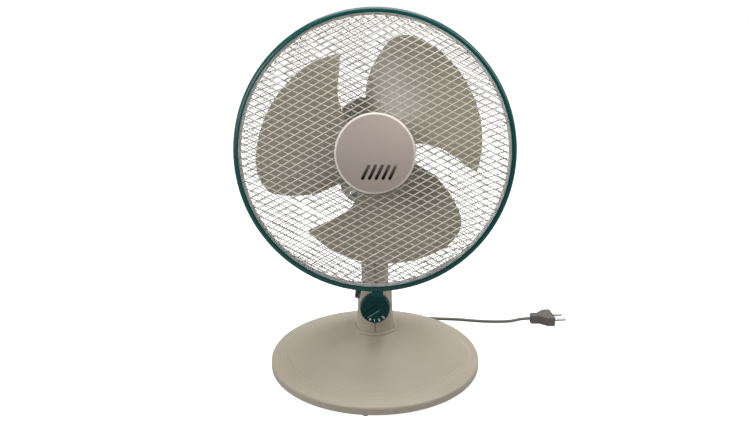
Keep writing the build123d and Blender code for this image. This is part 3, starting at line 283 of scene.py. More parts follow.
@dataclass(frozen=True)
class Moulded(Recipe):
    """A moulded plastic: fine spark-eroded grain, slow drifts of shade and faint handling marks."""

    roughness: float = 0.42
    grain: float = 0.0007
    grain_dulls: float = 0.10
    depth: float = 0.00002
    drift: float = 0.07
    drift_size: float = 0.055
    dust: float = 0.10
    mark_size: float = 0.012
    mark_levels: Pair = (0.56, 0.78)
    mark_shade: float = 1.25
    mark_dulls: float = 0.12
    coat: float = 0.0
    coat_roughness: float = 0.18
    gloss: float = 0.5

    def paint(self, g: Graph) -> None:
        """Feed the shader.

        Args:
            g: The material's graph.
        """
        cloud = g.noise(self.drift_size, detail=3.0)
        fine = g.noise(self.grain)
        marks = g.ramp(g.noise(self.mark_size, detail=6.0), *self.mark_levels)
        body = g.mix(cloud, self.tint(1 - self.drift), self.tint(1 + self.drift))
        dusty = g.mix(marks * self.dust, body, self.tint(self.mark_shade))
        g.set(
            Base_Color=self.add_painted_light(g, dusty),
            Roughness=self.roughness + self.grain_dulls * (fine - MIDDLE) + self.mark_dulls * marks,
            Normal=g.bump(fine, self.depth),
            Specular_IOR_Level=self.gloss,
            Coat_Weight=self.coat,
            Coat_Roughness=self.coat_roughness,
        )

    def add_painted_light(self, g: Graph, colour: Socket) -> Socket:
        """The colour with painted light and shade laid on; plain plastic gets none and leaves it as it is."""
        return colour


@dataclass(frozen=True)
class Slotted(Moulded):
    """The cap's plastic with painted light and shade: lighter towards the upper right and darker away from
    it, a painted highlight round its edge, and painted shade in the slots that darkens with their depth.
    """

    head: Head = field(default_factory=Head)
    # Painted shade in the slots: the colour of their walls and the darker colour of their bottoms.
    slot_wall_shade: Colour = linear(112, 95, 86)
    slot_bottom_shade: Colour = linear(30, 20, 14)
    # Painted highlight round the cap's edge: its colour, its width and its soft inner edge.
    rim_highlight: Colour = linear(212, 203, 193)
    rim_highlight_w: float = 2.9
    rim_highlight_edge: float = 0.4
    # Painted light and shade on the face: its share, the lighter tint on the lit side, and where the lit side
    # lies, at the upper right.
    painted_light_share: float = 0.2
    lit_side_tint: float = 1.5
    lit_side: Point = (33.0, 33.0, 50.0)
    cap_r: float = 47.8
    dome: float = 4.0
    face: float = 53.5
    slot_middle: Point = (5.0, -21.5, 50.0)
    slot_reach: float = 27.0
    slot_edge: float = 1.0
    mouth: float = 0.6
    mouth_edge: float = 0.3
    shallow: float = 2.2
    bottom: float = 5.0

    def add_painted_light(self, g: Graph, colour: Socket) -> Socket:
        """Paint light and shade on the face: lighter towards the upper right, a painted highlight round the
        edge, and painted shade under the face near the slots.

        Args:
            g: The material's graph.
            colour: The plain plastic's colour.

        Returns:
            The colour with its painted light and shade.
        """
        ball_r = (self.cap_r**2 + self.dome**2) / (2 * self.dome)
        place = self.head.guard(False)
        centre = tuple(place @ Vector((0, 0, self.face - ball_r)))
        depth = ball_r * MM - g.distance(centre)
        # Painted highlight: a paler band round the cap's edge, where the rounded edge catches the light.
        rim_r = self.cap_r - self.rim_highlight_w
        edge_r = math.hypot(rim_r, self.face - self.dome * (rim_r / self.cap_r) ** 2)
        edge = g.rise(g.distance(tuple(place @ Vector())), edge_r * MM, (edge_r + self.rim_highlight_edge) * MM)
        # Painted light and shade: lighter near the lit side at the upper right, darker away from it.
        away = g.rise(g.distance(tuple(place @ Vector(self.lit_side))), 0.0, 2 * self.cap_r * MM)
        pale = g.mix(self.painted_light_share, colour, self.tint(self.lit_side_tint))
        lit_and_shaded = g.mix(away, pale, self.tint(1 - self.painted_light_share))
        # Painted shade in the slots: darker below the face's mouth, and darker still towards their bottoms.
        near = g.distance(tuple(place @ Vector(self.slot_middle)))
        beside = g.rise(near, self.slot_reach * MM, (self.slot_reach + self.slot_edge) * MM)
        inside = g.rise(depth, self.mouth * MM, (self.mouth + self.mouth_edge) * MM)
        sunk = g.rise(depth, self.shallow * MM, self.bottom * MM)
        dark = g.mix(sunk, self.slot_wall_shade, self.slot_bottom_shade)
        # The edge's painted highlight over the face's light and shade, and the slots' painted shade over
        # both.
        return g.mix(inside * (1 - beside), g.mix(edge, lit_and_shaded, self.rim_highlight), dark)


@dataclass(frozen=True)
class Coated(Recipe):
    """A powder coat on wire or sheet: orange-peel ripple and slightly thinner, darker spots."""

    roughness: float = 0.38
    peel: float = 0.0011
    peel_depth: float = 0.00003
    peel_dulls: float = 0.15
    spots: float = 0.35
    spot_size: float = 0.03
    spot_levels: Pair = (0.45, 0.8)
    spot_shade: float = 0.86

    def paint(self, g: Graph) -> None:
        """Feed the shader.

        Args:
            g: The material's graph.
        """
        peel = g.noise(self.peel, detail=1.0)
        spots = g.ramp(g.noise(self.spot_size, detail=5.0), *self.spot_levels)
        g.set(
            Base_Color=g.mix(spots * self.spots, self.colour, self.tint(self.spot_shade)),
            Roughness=self.roughness + self.peel_dulls * (peel - MIDDLE),
            Normal=g.bump(peel, self.peel_depth),
        )


@dataclass(frozen=True)
class Metal(Recipe):
    """A bare or plated metal with brushed lines and a little staining."""

    roughness: float = 0.3
    lines: float = 0.0002
    line_depth: float = 0.000006
    line_dulls: float = 0.14
    stretch: Point = (1.0, 0.06, 1.0)
    stain: float = 0.12
    stain_size: float = 0.009
    stain_levels: Pair = (0.5, 0.75)
    stain_shade: float = 0.55
    stain_dulls: float = 0.12

    def paint(self, g: Graph) -> None:
        """Feed the shader.

        Args:
            g: The material's graph.
        """
        brushed = g.noise(self.lines, place=g.stretched(*self.stretch))
        stain = g.ramp(g.noise(self.stain_size, detail=4.0), *self.stain_levels)
        g.set(
            Base_Color=g.mix(stain * self.stain, self.colour, self.tint(self.stain_shade)),
            Metallic=1.0,
            Roughness=self.roughness + self.line_dulls * (brushed - MIDDLE) + self.stain_dulls * stain,
            Normal=g.bump(brushed, self.line_depth),
        )


@dataclass(frozen=True)
class Banded(Recipe):
    """A metal in close layers along one direction, such as laminations or wound wire."""

    pitch: float
    direction: str = "Y"
    roughness: float = 0.34
    wander: float = 0.4
    relief: float = 0.125
    gap_shade: float = 0.5
    gap_dulls: float = 0.2

    def paint(self, g: Graph) -> None:
        """Feed the shader.

        Args:
            g: The material's graph.
        """
        settings = {"wave_type": "BANDS", "bands_direction": self.direction}
        inputs = {"Vector": g.place(), "Scale": BAND / self.pitch, "Distortion": self.wander, "Detail": 1.0}
        bands = g.node("ShaderNodeTexWave", settings, inputs, "Fac")
        g.set(
            Base_Color=g.mix(bands, self.tint(self.gap_shade), self.colour),
            Metallic=1.0,
            Roughness=self.roughness + self.gap_dulls * (1 - bands),
            Normal=g.bump(bands, self.pitch * self.relief),
        )


@dataclass(frozen=True)
class Soft(Recipe):
    """Rubber or a flexible jacket: dull, faintly rippled, with a chalky bloom."""

    roughness: float = 0.6
    ripple: float = 0.0012
    ripple_depth: float = 0.00004
    ripple_dulls: float = 0.1
    bloom: float = 0.16
    bloom_size: float = 0.016
    bloom_levels: Pair = (0.45, 0.8)
    bloom_shade: float = 1.5
    bloom_dulls: float = 0.1

    def paint(self, g: Graph) -> None:
        """Feed the shader.

        Args:
            g: The material's graph.
        """
        ripple = g.noise(self.ripple)
        bloom = g.ramp(g.noise(self.bloom_size, detail=5.0), *self.bloom_levels)
        g.set(
            Base_Color=g.mix(bloom * self.bloom, self.colour, self.tint(self.bloom_shade)),
            Roughness=self.roughness + self.bloom_dulls * bloom + self.ripple_dulls * (ripple - MIDDLE),
            Normal=g.bump(ripple, self.ripple_depth),
        )


class Finish(Enum):
    """Every finish on the fan."""

    STONE = Moulded("stone_plastic", linear(165, 156, 140))
    # The cap's plastic carries painted light and shade on its face, a painted highlight round its edge and
    # painted shade in its slots.
    CAP = Slotted("cap_plastic", linear(172, 159, 150), roughness=0.36)
    BLADE = Moulded("blade_plastic", linear(161, 154, 137), roughness=0.3, coat=0.2)
    TEAL = Moulded("teal_plastic", linear(0, 68, 65), roughness=0.3, coat=0.08, dust=0.04, gloss=0.3)
    DIAL = Moulded("dial_plastic", linear(0, 58, 60), roughness=0.34, dust=0.03, gloss=0.14)
    DARK = Moulded("dark_plastic", linear(104, 108, 98), roughness=0.5)
    NYLON = Moulded("natural_nylon", linear(222, 216, 200), roughness=0.4)
    MARK = Moulded("pale_marking", linear(196, 206, 196), roughness=0.5)
    # Painted highlight: a pale teal line that stands in for light on the lower wall of the dial's recess.
    POINTER = Moulded("pointer_paint", linear(112, 158, 152), roughness=0.5)
    WIRE = Coated("mesh_paint", linear(208, 202, 193))
    # Painted shade: a darker copy of the wire paint for the rear guard, whose wires sit in shade behind the
    # front guard and the blades.
    WIRE_BEHIND = Coated("rear_mesh_paint", linear(172, 166, 161))
    # Painted light: a whiter copy of the wire paint for the hoops, to make up for the shade that the guard
    # ring's lip casts on them.
    HOOP = Coated("hoop_paint", linear(238, 240, 238))
    SHEET = Coated("plate_paint", linear(70, 70, 68))
    STEEL = Metal("bright_steel", linear(168, 168, 166))
    ZINC = Metal("zinc_plate", linear(216, 218, 210), roughness=0.42, stretch=EVEN, lines=0.0012)
    CHROME = Metal("chrome_plate", linear(232, 232, 230), roughness=0.1)
    SCREW = Metal("dark_chrome", linear(98, 100, 100), roughness=0.12)
    CAST = Metal("die_cast_metal", linear(160, 162, 164), roughness=0.5, stretch=EVEN, lines=0.0009)
    BRONZE = Metal("sintered_bronze", linear(176, 128, 72), roughness=0.5)
    IRON = Metal("cast_iron", linear(78, 76, 74), roughness=0.7, stretch=EVEN, lines=0.002)
    SHEETS = Banded("stacked_sheets", linear(120, 122, 126), 0.0008)
    COPPER = Banded("copper_winding", linear(190, 112, 62), 0.0007, "Z")
    RUBBER = Soft("foot_rubber", linear(52, 52, 50))
    JACKET = Soft("cord_jacket", linear(96, 90, 84))

    def material(self) -> bpy.types.Material:
        """The finish's material, made once."""
        found = bpy.data.materials.get("fan_" + self.value.name)
        return self.value.make() if found is None else found


def link(piece: Piece) -> Piece:
    """Put an object in the scene."""
    bpy.context.scene.collection.objects.link(piece)
    return piece


def announce(piece: Piece) -> Piece:
    """Report a mesh piece that was made."""
    LOG.info("%s: %d faces", piece.name, len(piece.data.polygons))
    return piece


def loft(rings: Sequence[Sequence[Vector]], closed: bool = False) -> bmesh.types.BMesh:
    """A shape through rings of points.

    Args:
        rings: The rings in millimetres, all of the same count.
        closed: Whether the last ring joins the first; otherwise the first and the last are filled.

    Returns:
        The shape, in metres.
    """
    shape = bmesh.new()
    rows = [[shape.verts.new(point * MM) for point in ring] for ring in rings]
    following = rows[1:] + rows[:1] if closed else rows[1:]
    for low, high in zip(rows, following):
        for i in range(len(low)):
            shape.faces.new((low[i], low[i - 1], high[i - 1], high[i]))
    if not closed:
        shape.faces.new(rows[0])
        shape.faces.new(reversed(rows[-1]))
    return shape


def mesh_piece(name: str, shape: bmesh.types.BMesh, finish: Finish, smooth: bool = True) -> Piece:
    """Make an object of a built shape.

    Args:
        name: The piece's name.
        shape: The shape, freed afterwards.
        finish: Its finish.
        smooth: Whether its faces are shaded smoothly.

    Returns:
        The linked object.
    """
    bmesh.ops.recalc_face_normals(shape, faces=shape.faces)
    mesh = bpy.data.meshes.new(name)
    shape.to_mesh(mesh)
    shape.free()
    for face in mesh.polygons:
        face.use_smooth = smooth
    mesh.materials.append(finish.material())
    return announce(link(bpy.data.objects.new(name, mesh)))


class GeoTree:
    """A Geometry Nodes tree built from calls, with named inputs."""

    def __init__(self, name: str, inputs: Dict[str, float]) -> None:
        """Start a tree.

        Args:
            name: The tree's name.
            inputs: Named sizes and their values.
        """
        self.tree = bpy.data.node_groups.new(name, "GeometryNodeTree")
        self.sizes = inputs
        face = self.tree.interface
        face.new_socket("Geometry", in_out="INPUT", socket_type="NodeSocketGeometry")
        for key in inputs:
            face.new_socket(key, in_out="INPUT", socket_type="NodeSocketFloat")
        face.new_socket("Geometry", in_out="OUTPUT", socket_type="NodeSocketGeometry")
        self.start = self.tree.nodes.new("NodeGroupInput")
        self.end = self.tree.nodes.new("NodeGroupOutput")

    def size(self, name: str) -> NodeSocket:
        """One of the tree's inputs."""
        return self.start.outputs[name]

    def node(self, kind: str, settings: Dict[str, Any], inputs: Dict[Any, Any], out: Any = 0) -> NodeSocket:
        """Add a node and give back one of its outputs.

        Args:
            kind: Blender's type name of the node.
            settings: Properties, set first.
            inputs: Values or links, by the socket's name or index.
            out: Name or index of the output.

        Returns:
            The chosen output.
        """
        made = self.tree.nodes.new(kind)
        for key, value in settings.items():
            setattr(made, key, value)
        for key, value in inputs.items():
            if isinstance(value, NodeSocket):
                self.tree.links.new(value, made.inputs[key])
            else:
                made.inputs[key].default_value = value
        return made.outputs[out]

    def attribute(self, name: str, kind: str) -> NodeSocket:
        """A value that each seed carries."""
        return self.node("GeometryNodeInputNamedAttribute", {"data_type": kind}, {"Name": name})

    def ball(self, halves: Sequence[str], segments: int, rings: int) -> NodeSocket:
        """A ball drawn out along its axes.

        Args:
            halves: The inputs that give its half sizes along X, Y and Z.
            segments: Faces round it.
            rings: Faces from pole to pole.

        Returns:
            The ball.
        """
        plain = {"Segments": segments, "Rings": rings, "Radius": 1.0}
        ball = self.node("GeometryNodeMeshUVSphere", {}, plain)
        sizes = {axis: self.size(name) for axis, name in enumerate(halves)}
        scale = self.node("ShaderNodeCombineXYZ", {}, sizes)
        return self.node("GeometryNodeTransform", {}, {"Geometry": ball, "Scale": scale})

    def spread(self, shape: NodeSocket, axis: str, finish: Finish, girthed: bool = False) -> None:
        """Set a shape on every seed and end the tree with real, smooth, finished faces.

        Args:
            shape: What is repeated.
            axis: The shape's axis that is turned to the seed's direction.
            finish: Its finish.
            girthed: Whether the seed's girth scales it.
        """
        facing = self.attribute("facing", "FLOAT_VECTOR")
        turn = self.node("FunctionNodeAlignRotationToVector", {"axis": axis}, {"Vector": facing})
        spots = self.node("GeometryNodeMeshToPoints", {}, {"Mesh": self.size("Geometry")})
        inputs = {"Points": spots, "Instance": shape, "Rotation": turn}
        if girthed:
            inputs["Scale"] = self.attribute("girth", "FLOAT")
        copies = self.node("GeometryNodeInstanceOnPoints", {}, inputs)
        real = self.node("GeometryNodeRealizeInstances", {}, {0: copies})
        smooth = self.node("GeometryNodeSetShadeSmooth", {}, {"Geometry": real})
        dressed = {"Geometry": smooth, "Material": finish.material()}
        self.tree.links.new(self.node("GeometryNodeSetMaterial", {}, dressed), self.end.inputs[0])

    def grow(self, name: str, seeds: bpy.types.Mesh) -> Piece:
        """Run the tree on a mesh of seeds and keep its result as a plain mesh.

        Args:
            name: The piece's name.
            seeds: The mesh that the tree starts from.

        Returns:
            The finished object.
        """
        piece = link(bpy.data.objects.new(name, seeds))
        modifier = piece.modifiers.new("grow", "NODES")
        modifier.node_group = self.tree
        for item in self.tree.interface.items_tree:
            if item.in_out == "INPUT" and item.name in self.sizes:
                modifier[item.identifier] = self.sizes[item.name]
        graph = bpy.context.evaluated_depsgraph_get()
        mesh = bpy.data.meshes.new_from_object(piece.evaluated_get(graph), depsgraph=graph)
        piece.modifiers.clear()
        piece.data = mesh
        mesh.name = name
        return announce(piece)


def seeds_mesh(
    name: str, points: Sequence[Vector], normals: Sequence[Vector], girths: Sequence[float] = ()
) -> bpy.types.Mesh:
    """A mesh of loose points, each with a direction and, where given, a girth.

    Args:
        name: The mesh's name.
        points: The places.
        normals: The directions, kept in the attribute "facing".
        girths: The radii, kept in the attribute "girth".

    Returns:
        The mesh.
    """
    mesh = bpy.data.meshes.new(name)
    mesh.from_pydata([tuple(point) for point in points], [], [])
    facing = mesh.attributes.new("facing", "FLOAT_VECTOR", "POINT")
    for item, normal in zip(facing.data, normals):
        item.vector = normal
    if girths:
        girth = mesh.attributes.new("girth", "FLOAT", "POINT")
        for item, radius in zip(girth.data, girths):
            item.value = radius
    return mesh


@dataclass
class MeshGuard:
    """Weld beads where the two layers of guard wire cross."""

    head: Head = field(default_factory=Head)
    rim_r: float = 165.3
    rim_z: float = 6.7
    rim_gap: float = 1.5
    depth: float = 42.0
    bend_r: float = 50.0
    rim_slope: float = 67.0
    pitch: float = 7.74
    lean: float = 27.1
    row_lean: float = 3.0
    layer_step: float = 1.9
    hub_hole: float = 16.5
    bead_r: float = 0.95
    bead_half_h: float = 1.25

    def __post_init__(self) -> None:
        """Work out the crown's and the bend's arcs."""
        self.slope = math.radians(self.rim_slope)
        self.bend_at = self.rim_r - self.bend_r * math.sin(self.slope)
        self.bend_z = self.rim_z - self.bend_r * math.cos(self.slope)
        lift = -self.bend_r * math.cos(self.slope) - (self.depth - self.rim_z)
        self.crown_r = (self.bend_r**2 - self.bend_at**2 - lift**2) / (2 * (lift + self.bend_r))
        self.crown_z = self.depth - self.crown_r
        self.join_angle = math.asin(self.bend_at / (self.crown_r - self.bend_r))

    def radius(self, run: float, shift: float) -> float:
        """Radius reached after a run along a layer from the axis.

        Args:
            run: Length along the layer.
            shift: The layer's distance outside the guard's surface.

        Returns:
            The radius.
        """
        crown = self.crown_r + shift
        bend = self.bend_r + shift
        crown_run = crown * self.join_angle
        if run < crown_run:
            return crown * math.sin(run / crown)
        return self.bend_at + bend * math.sin(self.join_angle + (run - crown_run) / bend)

    def surface(self, x: float, y: float, shift: float) -> Tuple[Vector, Vector]:
        """Point and outward direction of a layer over a place in the guard's plane.

        Args:
            x: The place, across.
            y: The place, along.
            shift: The layer's distance outside the guard's surface.

        Returns:
            The point and the direction.
        """
        r = math.hypot(x, y)
        crown = self.crown_r + shift
        if r < crown * math.sin(self.join_angle):
            z = self.crown_z + math.sqrt(crown**2 - r**2)
            return Vector((x, y, z)), Vector((x, y, z - self.crown_z)).normalized()
        bend = self.bend_r + shift
        z = self.bend_z + math.sqrt(max(bend**2 - (r - self.bend_at) ** 2, 0.0))
        share = (r - self.bend_at) / max(r, 1.0)
        return Vector((x, y, z)), Vector((x * share, y * share, z - self.bend_z)).normalized()

    def offsets(self, shift: float) -> List[float]:
        """Distances of one layer's wires from the axis, both sides.

        Args:
            shift: The layer's distance outside the guard's surface.

        Returns:
            The distances, from one side to the other.
        """
        crown_run = (self.crown_r + shift) * self.join_angle
        run = crown_run + (self.bend_r + shift) * (self.slope - self.join_angle)
        count = int(run / self.pitch + 0.5)
        half = [self.radius((i + 0.5) * self.pitch, shift) for i in range(count)]
        return [-d for d in reversed(half)] + half

    def crossings(self, rear: bool) -> Tuple[List[Vector], List[Vector]]:
        """Places and directions of the beads on one guard, in the scene.

        Args:
            rear: Whether it is the rear guard, which has a hole round its hub.

        Returns:
            The places and the directions.
        """
        first, second = (math.radians(self.row_lean + lean) for lean in (self.lean, -self.lean))
        cross = math.sin(second - first)
        reach = self.bend_at + (self.bend_r - self.layer_step) * math.sin(self.slope) - self.rim_gap
        place = self.head.guard(rear)
        turn = place.to_3x3().normalized()
        points, normals = [], []
        for a in self.offsets(0.0):
            for b in self.offsets(-self.layer_step):
                x = (a * math.cos(second) - b * math.cos(first)) / cross
                y = (a * math.sin(second) - b * math.sin(first)) / cross
                r = math.hypot(x, y)
                if r > reach or (rear and r < self.hub_hole):
                    continue
                point, normal = self.surface(x, y, -self.layer_step / 2)
                points.append(place @ point)
                normals.append(turn @ normal)
        return points, normals

    def build(self) -> None:
        """Make the beads of both guards and ride them on the head."""
        tree = GeoTree("weld_beads", {"Bead radius": self.bead_r * MM, "Bead height": self.bead_half_h * MM})
        bead = tree.ball(("Bead radius", "Bead radius", "Bead height"), segments=6, rings=4)
        tree.spread(bead, "Z", Finish.WIRE)
        for name, rear in (("front_weld_beads", False), ("rear_weld_beads", True)):
            piece = tree.grow(name, seeds_mesh(name + "_seeds", *self.crossings(rear)))
            # The rear beads take the darker copy of the wire paint: painted shade.
            piece.data.materials[0] = (Finish.WIRE_BEHIND if rear else Finish.WIRE).material()
            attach(piece, "head")


@dataclass
class DialMarks:
    """Raised numbers on the speed dial's face, and a pale line in the pointer's recess that is a painted
    highlight.
    """

    height: float = 99.2
    face_y: float = -37.4
    mark_r: float = 16.0
    thickness: float = 0.25
    boldness: float = 0.3
    marks: Sequence[Tuple[str, float, float]] = (
        ("0", -25.0, 4.4), ("1", -2.5, 4.4), ("2", 20.0, 5.2), ("3", 45.0, 6.2),
    )
    merge: float = 1e-7
    line_angle: float = 35.0
    line_beside: float = 4.0
    line_from: float = -4.0
    line_to: float = 14.5
    line_half_w: float = 0.45
    round_steps: int = 8

    def build(self) -> None:
        """Make the numbers and the painted highlight line, and ride them on the dial."""
        for piece in (self._numbers(), self._recess_highlight()):
            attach(piece, "speed_dial")

    def _recess_highlight(self) -> Piece:
        """A pale line along the lower edge of the pointer's recess: a painted highlight where the recess's
        lower wall catches the light.

        Returns:
            The line.
        """
        angle = math.radians(self.line_angle)
        along = Vector((-math.cos(angle), 0, -math.sin(angle)))
        beside = Vector((math.sin(angle), 0, -math.cos(angle)))
        middle = Vector((0, self.face_y, self.height)) + beside * self.line_beside
        outline: List[Vector] = []
        for reach, start in ((self.line_to, -90), (self.line_from, 90)):
            for step in range(self.round_steps + 1):
                turn = math.radians(start + 180 / self.round_steps * step)
                side = along * math.cos(turn) + beside * math.sin(turn)
                outline.append(middle + along * reach + side * self.line_half_w)
        lift = Vector((0, -self.thickness / 2, 0))
        shape = loft([[point - lift for point in outline], [point + lift for point in outline]])
        return mesh_piece("pointer_line", shape, Finish.POINTER, smooth=False)

    def _numbers(self) -> Piece:
        """The numbers as one mesh.

        Returns:
            The numbers.
        """
        whole = bmesh.new()
        for word, angle, size in self.marks:
            text = bpy.data.curves.new("number", "FONT")
            text.body = word
            text.size = size * MM
            text.offset = self.boldness * MM
            text.extrude = self.thickness * MM / 2
            text.align_x = "CENTER"
            text.align_y = "CENTER"
            text.resolution_u = 4
            maker = link(bpy.data.objects.new("number", text))
            graph = bpy.context.evaluated_depsgraph_get()
            mesh = bpy.data.meshes.new_from_object(maker.evaluated_get(graph), depsgraph=graph)
            bpy.data.objects.remove(maker)
            lean = math.radians(angle)
            across, down = self.mark_r * math.sin(lean), self.mark_r * math.cos(lean)
            place = Vector((across, self.face_y, self.height - down))
            leant = Matrix.Translation(place * MM) @ Matrix.Rotation(-lean, 4, "Y")
            mesh.transform(leant @ Matrix.Rotation(math.pi / 2, 4, "X"))
            whole.from_mesh(mesh)
            bpy.data.meshes.remove(mesh)
        bmesh.ops.remove_doubles(whole, verts=whole.verts, dist=self.merge)
        return mesh_piece("dial_numbers", whole, Finish.MARK, smooth=False)


@dataclass(frozen=True)
class Lamp:
    """One large square lamp aimed at the fan's middle."""

    name: str
    place: Point
    power: float
    size: float
    aim: Point = (0.0, 0.0, 0.25)

    def hang(self) -> None:
        """Put the lamp in the scene."""
        data = bpy.data.lights.new(self.name, "AREA")
        data.energy = self.power
        data.size = self.size
        lamp = link(bpy.data.objects.new(self.name, data))
        lamp.location = self.place
        way = Vector(self.aim) - Vector(self.place)
        lamp.rotation_euler = way.to_track_quat("-Z", "Y").to_euler()


@dataclass
class Studio:
    """The floor, the light and the camera."""

    camera_place: Point = (0.0, -0.9487, 0.5113)
    camera_pitch: float = 73.28
    lens: float = 35.26
    sensor: float = 36.0
    floor_half: float = 9.0
    floor_colour: Colour = (0.42, 0.42, 0.42)
    floor_roughness: float = 0.9
    floor_glow: float = 1.0
    sky: float = 0.1
    backdrop: float = 1.0
    lamps: Sequence[Lamp] = (
        Lamp("top", (0.0, 0.3, 2.0), 43.0, 1.4),
        Lamp("front_left", (-0.9, -1.0, 1.0), 12.5, 0.8),
        Lamp("high_right", (0.9, -0.3, 1.5), 3.5, 0.4),
        Lamp("right", (1.2, -0.2, 1.2), 9.0, 0.8),
        Lamp("front_right", (0.8, -0.8, 1.8), 4.0, 1.0),
        Lamp("low_left", (-1.2, 0.1, 0.4), 2.2, 0.6),
        Lamp("low_right", (1.2, 0.1, 0.4), 1.0, 0.6),
    )

    def build(self) -> None:
        """Set up everything that isn't the fan."""
        bpy.context.scene.view_settings.view_transform = "Standard"
        self._camera()
        self._floor()
        self._surround()
        for lamp in self.lamps:
            lamp.hang()
        LOG.info("studio: floor, surround and %d lamps", len(self.lamps))

    def _camera(self) -> None:
        """The photograph's view."""
        data = bpy.data.cameras.new("view")
        data.sensor_width = self.sensor
        data.sensor_fit = "HORIZONTAL"
        data.lens = self.lens
        camera = link(bpy.data.objects.new("view", data))
        camera.location = self.camera_place
        camera.rotation_euler = (math.radians(self.camera_pitch), 0, 0)
        bpy.context.scene.camera = camera

    def _floor(self) -> None:
        """A plain pale floor, lit up for the camera alone so that it reads white."""
        shape = bmesh.new()
        bmesh.ops.create_grid(shape, x_segments=1, y_segments=1, size=self.floor_half)
        mesh = bpy.data.meshes.new("floor")
        shape.to_mesh(mesh)
        shape.free()
        g = Graph("pale_floor")
        g.set(
            Base_Color=self.floor_colour,
            Roughness=self.floor_roughness,
            Emission_Color=g.node("ShaderNodeLightPath", {}, {}, "Is Camera Ray"),
            Emission_Strength=self.floor_glow,
        )
        mesh.materials.append(g.material)
        link(bpy.data.objects.new("floor", mesh))

    def _surround(self) -> None:
        """A dim white surround for the light and a white backdrop behind it."""
        world = bpy.data.worlds.new("surround")
        world.use_nodes = True
        tree = world.node_tree
        light, white = tree.nodes["Background"], tree.nodes.new("ShaderNodeBackground")
        for ground, strength in ((light, self.sky), (white, self.backdrop)):
            ground.inputs["Color"].default_value = (1, 1, 1, 1)
            ground.inputs["Strength"].default_value = strength
        rays = tree.nodes.new("ShaderNodeLightPath")
        mix = tree.nodes.new("ShaderNodeMixShader")
        for index, out in enumerate((rays.outputs["Is Camera Ray"], light.outputs[0], white.outputs[0])):
            tree.links.new(out, mix.inputs[index])
        tree.links.new(mix.outputs[0], tree.nodes["World Output"].inputs["Surface"])
        bpy.context.scene.world = world


